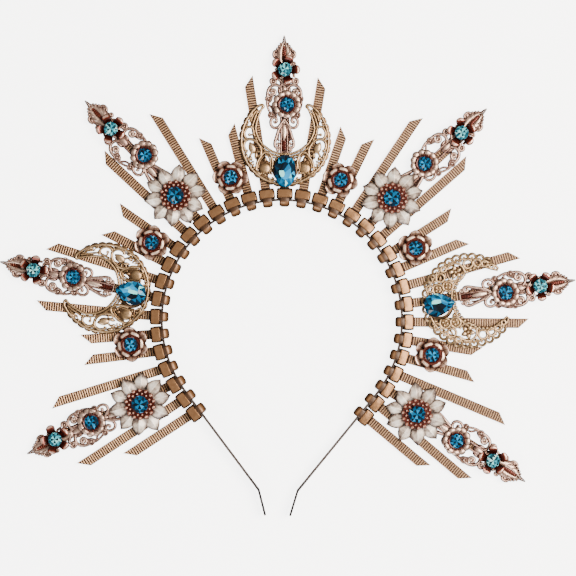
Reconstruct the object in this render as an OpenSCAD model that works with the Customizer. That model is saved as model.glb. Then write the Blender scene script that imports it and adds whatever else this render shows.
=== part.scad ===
// Halo crown: cable ties looped round a springy steel headband stand out as rays, and carry
// filigree spires, crescents, daisies and roses set with blue glass stones.
// It lies on its back: z = 0 is the surface under the tie heads and +Z is the worn front.
// x runs to the right, y to the crown's top, and the origin is the centre of the headband's arc.

/* [Headband] */
// Radius of the headband's arc, to the middle of the steel
band_r = 60; // [58:0.5:64]
// Thickness of the steel strip
band_t = 1; // [0.8:0.05:1.1]
// Width of the steel strip, which stands on edge
band_h = 5; // [4:0.25:5]
// How far below its widest point the arc runs before its straight legs begin, in degrees
leg_angle = 38; // [34:1:42]
// Length of each straight leg
leg_l = 61; // [45:1:65]
// Length of the bent end of each leg
leg_end_l = 13; // [8:1:16]
// Turn of each leg's end, away from its neighbour, in degrees
leg_end_turn = 22.5; // [0:0.5:30]

/* [Cable ties] */
// Spacing of the ties along the headband
tie_pitch = 8.535; // [8.5:0.005:8.8]
// Width of the strap
strap_w = 4.8; // [4.4:0.1:5]
// Thickness of the strap over its teeth
strap_t = 1.3; // [1.1:0.05:1.4]
// Depth of the teeth
tooth_h = 0.35; // [0.2:0.05:0.45]
// Spacing of the teeth
tooth_pitch = 1.2; // [1:0.1:1.6]
// Width of the head, across the strap
head_w = 8.2; // [7.6:0.1:8.2]
// Depth of the head, along its slot
head_d = 5.2; // [4.6:0.1:5.4]
// Length of the head, from its back to its front
head_l = 8.5; // [8:0.1:9]
// Outer radius of the strap's loop round the headband
loop_r = 4.2; // [4.1:0.05:4.3]
// Length of a short tail, from the headband to the middle of its cut end
short_tail = 38.7; // [36:0.1:42]
// Length of a long tail
long_tail = 60.7; // [56:0.1:66]
// Slant of a cut end over the strap's width
cut_slant = 5.2; // [3:0.1:6]

/* [Spires] */
// Length of a filigree spire
spire_l = 58.5; // [57:0.5:60]
// Thickness of the filigree
plate_t = 1; // [0.8:0.1:1.2]
// Width of a filigree wire
wire_w = 0.9; // [0.8:0.05:1]
// Radius of the rosette in the middle of a spire
rosette_r = 6.7; // [6.4:0.1:7]
// Petals of a rosette
rosette_petals = 12; // [12]
// Radius of the cupped flower near a spire's tip
tip_flower_r = 7; // [6.6:0.1:7.2]

/* [Crescents] */
// Outer radius of a crescent's rim, under its scallops
crescent_r = 22.2; // [21.8:0.1:22.4]
// Radius of the crescent's bite
bite_r = 14.8; // [14.4:0.1:15]
// How far the bite is off centre
bite_x = 8; // [7.5:0.1:8.5]

/* [Flowers] */
// Radius of a daisy, to its petal tips
daisy_r = 15.8; // [15:0.1:16]
// Petals of a daisy
daisy_petals = 10; // [10]
// Beads round a daisy's stone
daisy_beads = 14; // [12:1:15]
// Radius of a rose
rose_r = 9; // [8.6:0.1:9.2]
// Petals in each of a rose's two layers
rose_petals = 6; // [6]

/* [Stones] */
// Diameter of the stone in a daisy
daisy_stone_d = 8.75; // [8:0.05:8.8]
// Diameter of the stone in a rose
rose_stone_d = 7.5; // [7:0.1:7.8]
// Diameter of the stone in a rosette
rosette_stone_d = 7.2; // [6.8:0.1:7.3]
// Diameter of the stone in a tip flower
tip_stone_d = 7; // [6.6:0.1:7.2]
// Length of the oval crystal
oval_l = 16; // [15:0.5:16]
// Width of the oval crystal
oval_w = 11; // [10:0.5:11]
// Length of a pear crystal
pear_l = 15.5; // [14:0.5:15.5]
// Width of a pear crystal
pear_w = 11.5; // [10:0.5:11.5]

/* [Hidden] */
$fn = 48;
gap = 0.2;
overlap = 0.4;
tie_count = 35;
sector_ties = 5;
top_tie = (tie_count + 1) / 2;
arc_l = band_r * (90 + leg_angle) * PI / 180;

// Heights above the surface the crown lies on.
band_z = 2.2;
loop_z = 4.8;
tail_z = 1.2;
tail_top = tail_z + strap_t;
plate_z = tail_top + gap;
plate_top = plate_z + plate_t;
crescent_t = 1.2;
crescent_top = plate_z + crescent_t;
daisy_z = plate_top + gap;

// The head starts just outside the steel, and the loop's middle is level with its inner face.
head_x = band_t / 2 + 0.15;
loop_x = 0.7;
loop_t = 1.2;

// Lean of each tail off the headband's normal, in degrees, positive towards the crown's top.
// A row for each place down from the top tie:
// [left side's lean, right side's lean, left tail's extra length, right tail's extra length]
top_lean = 1.2;
TAILS = [
    [-2, -0.2, 0, -0.5], [0.5, -1.5, 0, 0], [0, -0.2, -1.1, 0.3],
    [-0.6, 0, -0.7, 0], [-3.9, -4.4, 0, 0], [0.5, 1.3, -0.5, 0.2],
    [0.6, 0.9, -1.2, 0.3], [1.4, -0.4, -1.3, 0], [-0.2, 0.4, 0, 0],
    [3.5, 1.3, 0, 0], [3.7, 0.2, 0, 0.3], [2.5, -0.2, 0, 0.2],
    [7.8, 1.4, 0.3, 0], [5.6, 2.4, 0, 0.2], [6.4, 0.1, 0, 0],
    [3.6, -0.8, 2, 0.4], [3.6, -0.7, 2.5, 2.3]
];

// Places along a spire tie, from the headband, and aside of the tie's middle line, anticlockwise.
// [node, tie, tip, tip aside, flower, flower aside, rosette, rosette aside]
SPIRES = [
    ["spire_lower_left", 3, 84, 1.1, 68, 0.3, 48, 0.2],
    ["spire_left", 8, 84, 0.3, 66.5, 0.5, 46.5, -0.7],
    ["spire_upper_left", 13, 87.5, 0.3, 68, 0.5, 47, -2.6],
    ["spire_top", 18, 82.2, 0.2, 65, -0.2, 47.5, -1.1],
    ["spire_upper_right", 23, 87.2, 1.3, 69.5, 1.2, 45.5, 2.9],
    ["spire_right", 28, 88, -0.7, 70, -1, 52.4, -1.7],
    ["spire_lower_right", 33, 86, -0.4, 66.5, -0.4, 46, -2.2]
];

// [node, tie, centre of the rim, aside, turn in degrees, size]
CRESCENTS = [
    ["crescent_left", 8, 30, 1.1, -1.3, 1],
    ["crescent_top", 18, 29.6, -0.2, 0, 1],
    ["crescent_right", 28, 33.9, -2.9, 3.5, 1.03]
];

// [tie, centre of the crystal, aside]
oval_place = [18, 14.4, -0.3];
PEAR_PLACES = [[8, 16.7, 0.2], [28, 18.9, -2.7]];

// [node, tie, centre, aside, angle of the first petal on the crown]
DAISIES = [
    ["daisy_lower_left", 3, 22.2, 2, 15.5],
    ["daisy_upper_left", 13, 21.8, 0, 10.7],
    ["daisy_upper_right", 23, 22, 1.5, 12.7],
    ["daisy_lower_right", 33, 22, -2, 20]
];

// [node, radius on the crown, angle on the crown, angle of the first petal on the crown]
ROSES = [
    ["rose_lower_left", 76.4, 190.4, 37],
    ["rose_upper_left", 75.6, 150.5, 21],
    ["rose_top_left", 75.6, 111.1, 0],
    ["rose_top_right", 75.8, 68.5, 44.4],
    ["rose_upper_right", 75.8, 29.6, 31.6],
    ["rose_lower_right", 76.9, -11.8, 24]
];

// A daisy petal, cut across along its length.
// [radius, half width, height of the crease, height of the edges], as shares of the daisy's radius
PETAL = [
    [0.4, 0.135, 0.075, 0.05],
    [0.69, 0.235, 0.125, 0.06],
    [0.86, 0.145, 0.105, 0.055],
    [1, 0.012, 0.065, 0.055]
];
petal_t = 0.5;

function tie_name(i) = str("tie_", i < 10 ? "0" : "", i);

// Along the headband, s is the arc length from the top, positive clockwise.
function tie_s(i) = (i - top_tie) * tie_pitch;
function heading(s) = sign(s) * min(abs(s), arc_l) / band_r * 180 / PI;
function band_at(s) =
    let (h = heading(s), past = max(abs(s) - arc_l, 0) * sign(s))
    [band_r * sin(h) + past * cos(h), band_r * cos(h) - past * sin(h)];
function tail_row(i) = TAILS[abs(i - top_tie) - 1];
function lean(i) = i == top_tie ? top_lean : i < top_tie ? -tail_row(i)[0] : tail_row(i)[1];
function spire_tie(i) = sector_ties * floor((i - 1) / sector_ties) + (sector_ties + 1) / 2;

// +x points out of the crown from the headband, and +y is anticlockwise along it.
module at_head(i) {
    translate(band_at(tie_s(i))) rotate(90 - heading(tie_s(i))) children();
}

// +x runs out along the tie's own tail.
module at_tail(i, out = 0, aside = 0) {
    at_head(i) rotate(lean(i)) translate([out, aside]) children();
}

// A closed mesh through rings of points, each ring anticlockwise seen from the last one.
module loft(rings) {
    n = len(rings[0]);
    last = (len(rings) - 1) * n;
    polyhedron(
        points = [for (r = rings) for (p = r) p],
        faces = concat(
            [for (i = [1 : n - 2]) [0, i, i + 1]],
            [for (k = [0 : len(rings) - 2]) for (i = [0 : n - 1])
                [k * n + i, (k + 1) * n + i, (k + 1) * n + (i + 1) % n]],
            [for (k = [0 : len(rings) - 2]) for (i = [0 : n - 1])
                [k * n + i, (k + 1) * n + (i + 1) % n, k * n + (i + 1) % n]],
            [for (i = [1 : n - 2]) [last, last + i + 1, last + i]]
        )
    );
}

// Flat wires and rings of the filigree.
module ring(r, w = wire_w) {
    difference() {
        circle(r + w / 2);
        circle(r - w / 2);
    }
}

module arc_wire(r, from, to, w = wire_w) {
    steps = ceil((to - from) / 45);
    far = 2 * (r + w);
    intersection() {
        ring(r, w);
        polygon(concat(
            [[0, 0]],
            [for (k = [0 : steps]) let (a = from + (to - from) * k / steps) far * [cos(a), sin(a)]]
        ));
    }
}

// A wire from p to q that bows to the left of that way by rise.
module bow(p, q, rise, w = wire_w) {
    chord = norm(q - p);
    side = [p[1] - q[1], q[0] - p[0]] / chord;
    r = (chord * chord / 4 + rise * rise) / (2 * rise);
    half = asin(chord / 2 / r);
    translate((p + q) / 2 - side * (r - rise))
        rotate(atan2(side[1], side[0])) arc_wire(r, -half, half, w);
}

module straight(p, q, w = wire_w) {
    translate(p) rotate(atan2(q[1] - p[1], q[0] - p[0])) translate([0, -w / 2])
        square([norm(q - p), w]);
}

module mirrored() {
    children();
    mirror([0, 1]) children();
}

// A dished sheet: a wall through [radius, height] points, cut to round petals.
module dish(path, wall, petals, petal_r, petal_at, core_r, turn = 0) {
    rise = path[len(path) - 1][1] + wall;
    intersection() {
        rotate_extrude() polygon(concat(
            path, [for (k = [len(path) - 1 : -1 : 0]) path[k] + [-0.35 * wall, wall]]
        ));
        linear_extrude(rise + 1) union() {
            circle(core_r);
            for (k = [0 : petals - 1])
                rotate(turn + k * 360 / petals) translate([petal_at, 0]) circle(petal_r);
        }
    }
}

module headband() {
    color("dimgray") translate([0, 0, band_z]) linear_extrude(band_h) {
        rotate(90) arc_wire(band_r, -90 - leg_angle, 90 + leg_angle, band_t);
        for (side = [0, 1]) mirror([side, 0])
            translate(band_at(arc_l)) rotate(-90 - leg_angle) {
                translate([-overlap, -band_t / 2]) square([leg_l + overlap, band_t]);
                translate([leg_l, 0]) circle(band_t / 2 + 0.02);
                translate([leg_l, 0]) rotate(leg_end_turn) translate([0, -band_t / 2])
                    square([leg_end_l, band_t]);
            }
    }
}

// The head's plan narrows outwards, and its edges are eased.
module tie_head() {
    ease = 0.5;
    x1 = head_x + head_d;
    notch_w = strap_w + 0.7;
    notch_d = 1.75;
    half = head_w / 2;
    difference() {
        intersection() {
            linear_extrude(head_l) polygon([
                [head_x, -half + 0.1], [x1 - 2.6, -half], [x1 - 0.7, -half + 0.15], [x1, -half + 0.8],
                [x1, half - 0.8], [x1 - 0.7, half - 0.15], [x1 - 2.6, half], [head_x, half - 0.1]
            ]);
            rotate([90, 0, 90]) linear_extrude(x1 + 1) polygon([
                [-half, ease], [-half + ease, 0], [half - ease, 0], [half, ease],
                [half, head_l - ease], [half - ease, head_l],
                [-half + ease, head_l], [-half, head_l - ease]
            ]);
        }
        translate([head_x - 1, -notch_w / 2, head_l - 1.9]) cube([notch_d + 1, notch_w, 3]);
    }
}

// The strap leaves the head's front, passes round the steel and comes back into the slot.
module tie_loop() {
    translate([loop_x, 0, loop_z]) rotate([90, 0, 0]) linear_extrude(strap_w, center = true)
        ring(loop_r - loop_t / 2, loop_t);
}

// A tail's end is cut on a slant, its point towards the spire. A spire's tie ends in a blunt point.
function tail_end(i, length) =
    let (half = strap_w / 2, way = spire_tie(i) - i)
    way == 0
        ? [[length - 3.6, -half], [length, -0.9], [length, 0.9], [length - 3.6, half]]
        : let (slant = sign(way) * cut_slant / 2)
            [[length + slant, -half], [length - slant, half]];

function tail_length(i) =
    let (way = abs(spire_tie(i) - i))
    way == 0
        ? SPIRES[floor((i - 1) / sector_ties)][2] - 4.8
        : (way == 1 ? long_tail : short_tail) + tail_row(i)[i < top_tie ? 2 : 3];

module tie_tail(i) {
    length = tail_length(i);
    start = head_x + 1;
    teeth_from = head_x + head_d + 1;
    teeth = ceil((length + cut_slant - teeth_from) / tooth_pitch);
    teeth_to = teeth_from + teeth * tooth_pitch;
    intersection() {
        translate([0, strap_w / 2, tail_z]) rotate([90, 0, 0]) linear_extrude(strap_w) polygon(concat(
            [[start, 0], [start, strap_t - tooth_h]],
            [for (k = [0 : 2 * teeth])
                [teeth_from + k * tooth_pitch / 2, k % 2 == 0 ? strap_t - tooth_h : strap_t]],
            [[teeth_to, 0]]
        ));
        linear_extrude(tail_top + 1) polygon(concat(
            [[start, -strap_w / 2]], tail_end(i, length), [[start, strap_w / 2]]
        ));
    }
}

module tie(i) {
    color("peru") {
        at_head(i) {
            tie_head();
            tie_loop();
        }
        at_tail(i) tie_tail(i);
    }
}

// Half of a spire's filigree, from its inner end at x = 0 to its tip, on the +y side.
module spire_half() {
    rail_y = 2;
    // The lower leaf: an outer wire, a rail beside the slit, and curls at its foot.
    bow([4.6, 5.1], [14.6, 0.9], 0.8);
    straight([0, rail_y], [14.4, rail_y]);
    translate([4, 3.7]) circle(1.75);
    translate([1.2, 3]) circle(1.15);
    // The scroll over the leaf, and the beaded side wire that goes on from it.
    straight([13.6, 1.6], [14, 3.4]);
    translate([15.2, 4.7]) arc_wire(1.6, -130, 150);
    bow([16.4, 5.1], [26.2, 7], 0.7, 1.8);
    translate([18.4, 6.9]) circle(1.2);
    translate([22, 7.6]) circle(1.1);
    translate([26.2, 7.4]) circle(1.15);
    // The upper scroll, its curl and its link to the neck.
    bow([26.4, 7.6], [35, 5.2], 0.7, 1.1);
    translate([30.2, 5.9]) ring(1.6, 1.1);
    straight([30.6, 4.7], [32.6, 1.4], 1.1);
    // The neck's rail, and the ring beside the neck's leaf.
    straight([16, 1.6], [35, 1.6], 1.1);
    straight([35.3, 1], [35.3, 4.4], 1.4);
    translate([35.4, 5.3]) ring(1.35, 1);
    // Scallops on the tip leaf's edge.
    translate([45.6, 4.5]) circle(1.1);
    translate([48.4, 4.5]) circle(1.4);
    translate([51.3, 3.3]) circle(1.1);
    translate([54.3, 2]) circle(0.9);
}

module spire_plate() {
    slit_w = 2.2;
    difference() {
        union() {
            mirrored() spire_half();
            // The foot, the tongue in the lower leaf, and the knot over it.
            translate([0, -2.2]) square([1, 4.4]);
            translate([6.2, -1.05]) square([9, 2.1]);
            translate([14.6, 0]) circle(2.3);
            // The leaf across the neck, and the tip leaf.
            translate([35.2, 0]) circle(2.4);
            polygon([
                [35, -1.7], [41, -3.4], [47, -4.6], [51, -3.5], [54.7, -1.7], [spire_l, -0.3],
                [spire_l, 0.3], [54.7, 1.7], [51, 3.5], [47, 4.6], [41, 3.4], [35, 1.7]
            ]);
        }
        translate([47.2, -slit_w / 2]) square([5.6, slit_w]);
        translate([52.8, 0]) circle(slit_w / 2 - 0.02);
    }
}

module bezel(r, wall, height) {
    rotate_extrude() translate([r, 0]) square([wall, height]);
}

// The rosette stands on the filigree: a disc, a ring of small petals and the stone's bezel.
module rosette() {
    petal = 1.32;
    cylinder(r = rosette_r - 1.5, h = 0.9);
    for (k = [0 : rosette_petals - 1])
        rotate(k * 360 / rosette_petals) translate([rosette_r - petal, 0])
            cylinder(r1 = petal, r2 = 0.85, h = 1.5);
    translate([0, 0, 0.5]) bezel(rosette_stone_d / 2 + 0.15, 0.8, 2.1);
}

// The tip flower has five petals that stand up round its stone and turn out at their ends.
module tip_flower() {
    petals = 5;
    petal = 2.5;
    first_petal = -20;
    cylinder(r = 1.9, h = 1.4);
    dish(
        [[0.9, 0.1], [3.6, 0.7], [5, 2.4], [tip_flower_r, 2.9]], 0.5,
        petals, petal, tip_flower_r - petal, 3, first_petal
    );
}

module spire(s) {
    color("rosybrown") at_tail(s[1]) translate([0, 0, plate_z]) {
        translate([s[2] - spire_l, s[3]]) linear_extrude(plate_t) spire_plate();
        translate([s[4], s[5], plate_t]) tip_flower();
        translate([s[6], s[7], plate_t]) rosette();
    }
}

// Half of a crescent, its bite towards +x. Places are [radius, degrees off the -x axis].
module crescent_half() {
    function place(r, a) = [-r * cos(a), r * sin(a)];
    scallop_step = 7;
    translate(place(15.7, 38)) circle(4.6);
    translate(place(15.9, 72)) {
        ring(4, 1.2);
        translate([-1.6, 0.6]) circle(2.1);
    }
    translate(place(17.8, 103)) ring(2.2, 1.2);
    // Leaves fill the corners between the scrolls and the outer rim.
    translate(place(19.8, 20)) circle(1.5);
    translate(place(19.8, 55)) circle(1.6);
    translate(place(19.8, 89)) circle(1.6);
    translate(place(19.8, 117)) circle(1.4);
    translate(place(12.6, 57)) circle(1.2);
    // The horn ends in a ring.
    translate(place(20.2, 144)) ring(1.3, 1);
    for (k = [0 : 19])
        translate(place(crescent_r, (k + 0.5) * scallop_step)) circle(0.9);
}

module crescent_plate() {
    rim_w = 1.5;
    horn = 37;
    mirrored() crescent_half();
    // The setting under the crystal.
    translate([-14.4, 0]) ring(5.65, 1.9);
    straight([-9.4, 0], [bite_x - bite_r, 0], 2);
    rotate(180) arc_wire(crescent_r - rim_w / 2, -180 + horn, 180 - horn, rim_w);
    intersection() {
        translate([bite_x, 0]) ring(bite_r + 0.6, 1.2);
        circle(crescent_r - 0.3);
        translate([-30, -30]) square([46.2, 60]);
    }
}

module crescent(c) {
    button = [-12.4, 9.7];
    seat_x = -14.4;
    color("burlywood") at_tail(c[1], c[2], c[3]) rotate(c[4]) translate([0, 0, plate_z]) scale(c[5]) {
        linear_extrude(crescent_t) crescent_plate();
        // Each button is a raised disc in a raised rim.
        for (side = [-1, 1]) translate([button[0], side * button[1], 0]) {
            cylinder(r = 2.9, h = crescent_t + 0.6);
            bezel(3.9, 0.6, crescent_t + 0.4);
        }
        translate([seat_x, 0, 0]) bezel(4.8, 1.4, crescent_t + 0.4);
    }
}

// A creased petal: a folded strip, swept out from the hub.
module daisy_petal() {
    loft([for (p = PETAL) let (x = p[0] * daisy_r, w = p[1] * daisy_r, top = p[2] * daisy_r,
        side = p[3] * daisy_r)
        [[x, w, side], [x, 0, top], [x, -w, side],
         [x, -w, side - petal_t], [x, 0, top - petal_t], [x, w, side - petal_t]]]);
}

module daisy(d) {
    hub_r = 8.2;
    hub_t = 2;
    bead_r = 1.2;
    color("antiquewhite") at_tail(d[1], d[2], d[3]) translate([0, 0, daisy_z]) {
        cylinder(r = hub_r, h = hub_t);
        rotate(d[4] - tail_angle(d[1])) for (k = [0 : daisy_petals - 1])
            rotate(k * 360 / daisy_petals) daisy_petal();
        for (k = [0 : daisy_beads - 1])
            rotate(k * 360 / daisy_beads) translate([6.9, 0, hub_t + 0.4]) sphere(bead_r);
        translate([0, 0, hub_t - overlap]) bezel(daisy_stone_d / 2 + 0.15, 0.7, 2.4 + overlap);
    }
}

function tail_angle(i) = 90 - heading(tie_s(i)) + lean(i);

module at_rose(r) {
    translate([r[1] * cos(r[2]), r[1] * sin(r[2])]) rotate(r[3]) children();
}

// A rose has an open outer layer of petals and a steeper inner one, half a petal round.
module rose(r) {
    outer = 3.6;
    inner = 2.4;
    inner_r = 6.2;
    color("rosybrown") at_rose(r) translate([0, 0, plate_z]) {
        cylinder(r = 3.4, h = 1.3);
        cylinder(r = 2.6, h = 2.3);
        dish(
            [[1, 0.1], [5.4, 0.5], [7.7, 1.7], [rose_r, 2.9]], 0.5,
            rose_petals, outer, rose_r - outer, 5
        );
        dish(
            [[1, 0.8], [4.2, 1.5], [5.6, 3.3], [inner_r, 4.8]], 0.5,
            rose_petals, inner, inner_r - inner, 3.9, 180 / rose_petals
        );
    }
}

// A round stone with a table, a ring of facets over its girdle and a cut-off point below.
// [radius, height, turn in steps], as shares of the stone's radius
STONE = [[0.42, -0.42, 0], [1, -0.05, 0], [1, 0.04, 0], [0.8, 0.2, 0.5], [0.56, 0.3, 0]];
stone_sides = 12;

function oval_edge(a, l, w) = [l / 2 * cos(a), w / 2 * sin(a)];
function pear_edge(a, l, w) = [l / 2 * cos(a), w / 2 * sin(a) * (1 - 0.3 * cos(a)) * (1 - 0.12 * cos(2 * a))];

module round_stone(d) {
    loft([for (s = STONE) [for (k = [1 : stone_sides]) let (a = (k + s[2]) * 360 / stone_sides)
        [d / 2 * s[0] * cos(a), d / 2 * s[0] * sin(a), d / 2 * s[1]]]]);
}

// [share of the outline, height]
CRYSTAL = [[0.72, -1.9], [1, -0.3], [1, 0.2], [0.8, 1.5], [0.55, 2.2]];
crystal_sides = 20;

module crystal(pear, l, w) {
    color("deepskyblue") loft([for (c = CRYSTAL) [for (k = [1 : crystal_sides])
        let (a = k * 360 / crystal_sides, p = pear ? pear_edge(a, l, w) : oval_edge(a, l, w))
        [c[0] * p[0], c[0] * p[1], c[1]]]]);
}

module at_crystal(place) {
    at_tail(place[0], place[1], place[2]) translate([0, 0, crescent_top + 0.6 + 1.9]) children();
}

module pear_crystals() {
    for (p = PEAR_PLACES) at_crystal(p) crystal(true, pear_l, pear_w);
}

module blue_stones() {
    color("dodgerblue") {
        for (d = DAISIES) at_tail(d[1], d[2], d[3]) translate([0, 0, daisy_z + 4])
            round_stone(daisy_stone_d);
        for (r = ROSES) at_rose(r) translate([0, 0, plate_z + 4.05]) round_stone(rose_stone_d);
        for (s = SPIRES) at_tail(s[1], s[6], s[7]) translate([0, 0, plate_top + 2.6])
            round_stone(rosette_stone_d);
    }
}

module aqua_stones() {
    color("turquoise") for (s = SPIRES) at_tail(s[1], s[4], s[5])
        translate([0, 0, plate_top + 3.05]) round_stone(tip_stone_d);
}

headband();
for (i = [1 : tie_count]) tie(i);
for (s = SPIRES) spire(s);
for (c = CRESCENTS) crescent(c);
for (d = DAISIES) daisy(d);
for (r = ROSES) rose(r);
at_crystal(oval_place) crystal(false, oval_l, oval_w);  // oval_crystal
pear_crystals();
blue_stones();
aqua_stones();
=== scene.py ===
"""Halo crown: bronze-painted cable ties round a steel headband, with struck filigree spires and
crescents, enamelled daisies, copper roses and foiled glass stones. Sizes are in mm."""

import math
import random

import bpy
import bmesh
from mathutils import Matrix, Vector


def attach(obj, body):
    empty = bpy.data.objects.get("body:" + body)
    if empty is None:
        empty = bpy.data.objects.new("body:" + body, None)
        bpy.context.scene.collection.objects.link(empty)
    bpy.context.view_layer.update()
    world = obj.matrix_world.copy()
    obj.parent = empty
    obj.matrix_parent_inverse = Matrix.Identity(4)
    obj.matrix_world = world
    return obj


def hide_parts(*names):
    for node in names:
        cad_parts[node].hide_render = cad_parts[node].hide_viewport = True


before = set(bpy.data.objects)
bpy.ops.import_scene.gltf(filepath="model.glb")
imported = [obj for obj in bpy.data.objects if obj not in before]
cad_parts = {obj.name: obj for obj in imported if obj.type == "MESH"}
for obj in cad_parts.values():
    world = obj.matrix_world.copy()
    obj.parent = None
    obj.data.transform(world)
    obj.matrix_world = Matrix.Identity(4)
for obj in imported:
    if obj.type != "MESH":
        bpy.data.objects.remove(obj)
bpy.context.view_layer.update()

# --- Sizes, as in the part's source ---
BAND_R, LEG_ANGLE = 60, 38
TIE_PITCH, TIES, TOP_TIE = 8.535, 35, 18
STRAP_W, STRAP_T, TOOTH_H, TOOTH_PITCH = 4.8, 1.3, 0.35, 1.2
HEAD_W, HEAD_D, HEAD_X = 8.2, 5.2, 0.65
LOOP_R, LOOP_T, LOOP_X, LOOP_Z = 4.2, 1.2, 0.7, 4.8
SHORT_TAIL, LONG_TAIL, CUT_SLANT = 38.7, 60.7, 5.2
SPIRE_L, ROSETTE_PETALS = 58.5, 12
CRESCENT_R, BITE_R, BITE_X, CRESCENT_T = 22.2, 14.8, 8, 1.2
DAISY_R, DAISY_PETALS, DAISY_BEADS, ROSE_PETALS = 15.8, 10, 14, 6
DAISY_STONE, ROSE_STONE, ROSETTE_STONE, TIP_STONE = 8.75, 7.5, 7.2, 7
TAIL_Z, PLATE_T, GAP = 1.2, 1, 0.2
TAIL_TOP = TAIL_Z + STRAP_T
PLATE_Z = TAIL_TOP + GAP
PLATE_TOP = PLATE_Z + PLATE_T
DAISY_Z = PLATE_TOP + GAP
# How high the middle of each stone is over what carries it.
DAISY_STONE_Z, ROSE_STONE_Z, ROSETTE_STONE_Z, TIP_STONE_Z, CRYSTAL_Z = 4, 4.05, 2.6, 3.05, 2.5

# From the top tie down: left lean, right lean, left tail's extra length, right tail's.
TOP_LEAN = 1.2
TAILS = (
    (-2, -0.2, 0, -0.5), (0.5, -1.5, 0, 0), (0, -0.2, -1.1, 0.3),
    (-0.6, 0, -0.7, 0), (-3.9, -4.4, 0, 0), (0.5, 1.3, -0.5, 0.2),
    (0.6, 0.9, -1.2, 0.3), (1.4, -0.4, -1.3, 0), (-0.2, 0.4, 0, 0),
    (3.5, 1.3, 0, 0), (3.7, 0.2, 0, 0.3), (2.5, -0.2, 0, 0.2),
    (7.8, 1.4, 0.3, 0), (5.6, 2.4, 0, 0.2), (6.4, 0.1, 0, 0),
    (3.6, -0.8, 2, 0.4), (3.6, -0.7, 2.5, 2.3),
)
# Node, tie, then tip, its offset, tip flower, its offset, rosette, its offset.
SPIRES = (
    ("spire_lower_left", 3, 84, 1.1, 68, 0.3, 48, 0.2),
    ("spire_left", 8, 84, 0.3, 66.5, 0.5, 46.5, -0.7),
    ("spire_upper_left", 13, 87.5, 0.3, 68, 0.5, 47, -2.6),
    ("spire_top", 18, 82.2, 0.2, 65, -0.2, 47.5, -1.1),
    ("spire_upper_right", 23, 87.2, 1.3, 69.5, 1.2, 45.5, 2.9),
    ("spire_right", 28, 88, -0.7, 70, -1, 52.4, -1.7),
    ("spire_lower_right", 33, 86, -0.4, 66.5, -0.4, 46, -2.2),
)
# Node, tie, centre of the rim, offset, turn, size.
CRESCENTS = (
    ("crescent_left", 8, 30, 1.1, -1.3, 1),
    ("crescent_top", 18, 29.6, -0.2, 0, 1),
    ("crescent_right", 28, 33.9, -2.9, 3.5, 1.03),
)
OVAL = (18, 14.4, -0.3)
PEARS = ((8, 16.7, 0.2), (28, 18.9, -2.7))
# Node, tie, centre, offset, angle of the first petal on the crown.
DAISIES = (
    ("daisy_lower_left", 3, 22.2, 2, 15.5),
    ("daisy_upper_left", 13, 21.8, 0, 10.7),
    ("daisy_upper_right", 23, 22, 1.5, 12.7),
    ("daisy_lower_right", 33, 22, -2, 20),
)
# Node, radius and angle on the crown, angle of the first outer petal.
ROSES = (
    ("rose_lower_left", 76.4, 190.4, 37),
    ("rose_upper_left", 75.6, 150.5, 21),
    ("rose_top_left", 75.6, 111.1, 0),
    ("rose_top_right", 75.8, 68.5, 44.4),
    ("rose_upper_right", 75.8, 29.6, 31.6),
    ("rose_lower_right", 76.9, -11.8, 24),
)


# --- Places on the crown ---
def turned(degrees):
    return Matrix.Rotation(math.radians(degrees), 4, "Z")


def moved(x, y=0, z=0):
    return Matrix.Translation((x, y, z))


def tail_row(tie):
    return TAILS[abs(tie - TOP_TIE) - 1]


def at_head(tie):
    """+x points out of the crown from the headband at this tie."""
    arc_length = BAND_R * math.radians(90 + LEG_ANGLE)
    s = (tie - TOP_TIE) * TIE_PITCH
    way = math.copysign(1, s)
    h = way * min(abs(s), arc_length) / BAND_R
    past = way * max(abs(s) - arc_length, 0)
    x = BAND_R * math.sin(h) + past * math.cos(h)
    y = BAND_R * math.cos(h) - past * math.sin(h)
    return moved(x, y) @ Matrix.Rotation(math.pi / 2 - h, 4, "Z")


def at_tail(tie, out=0, aside=0, z=0):
    """+x runs out along the tie's own tail."""
    if tie == TOP_TIE:
        lean = TOP_LEAN
    else:
        lean = -tail_row(tie)[0] if tie < TOP_TIE else tail_row(tie)[1]
    return at_head(tie) @ turned(lean) @ moved(out, aside, z)


def at_rose(rose, z=0):
    _, r, angle, first = rose
    a = math.radians(angle)
    return moved(r * math.cos(a), r * math.sin(a), z) @ turned(first)


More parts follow.
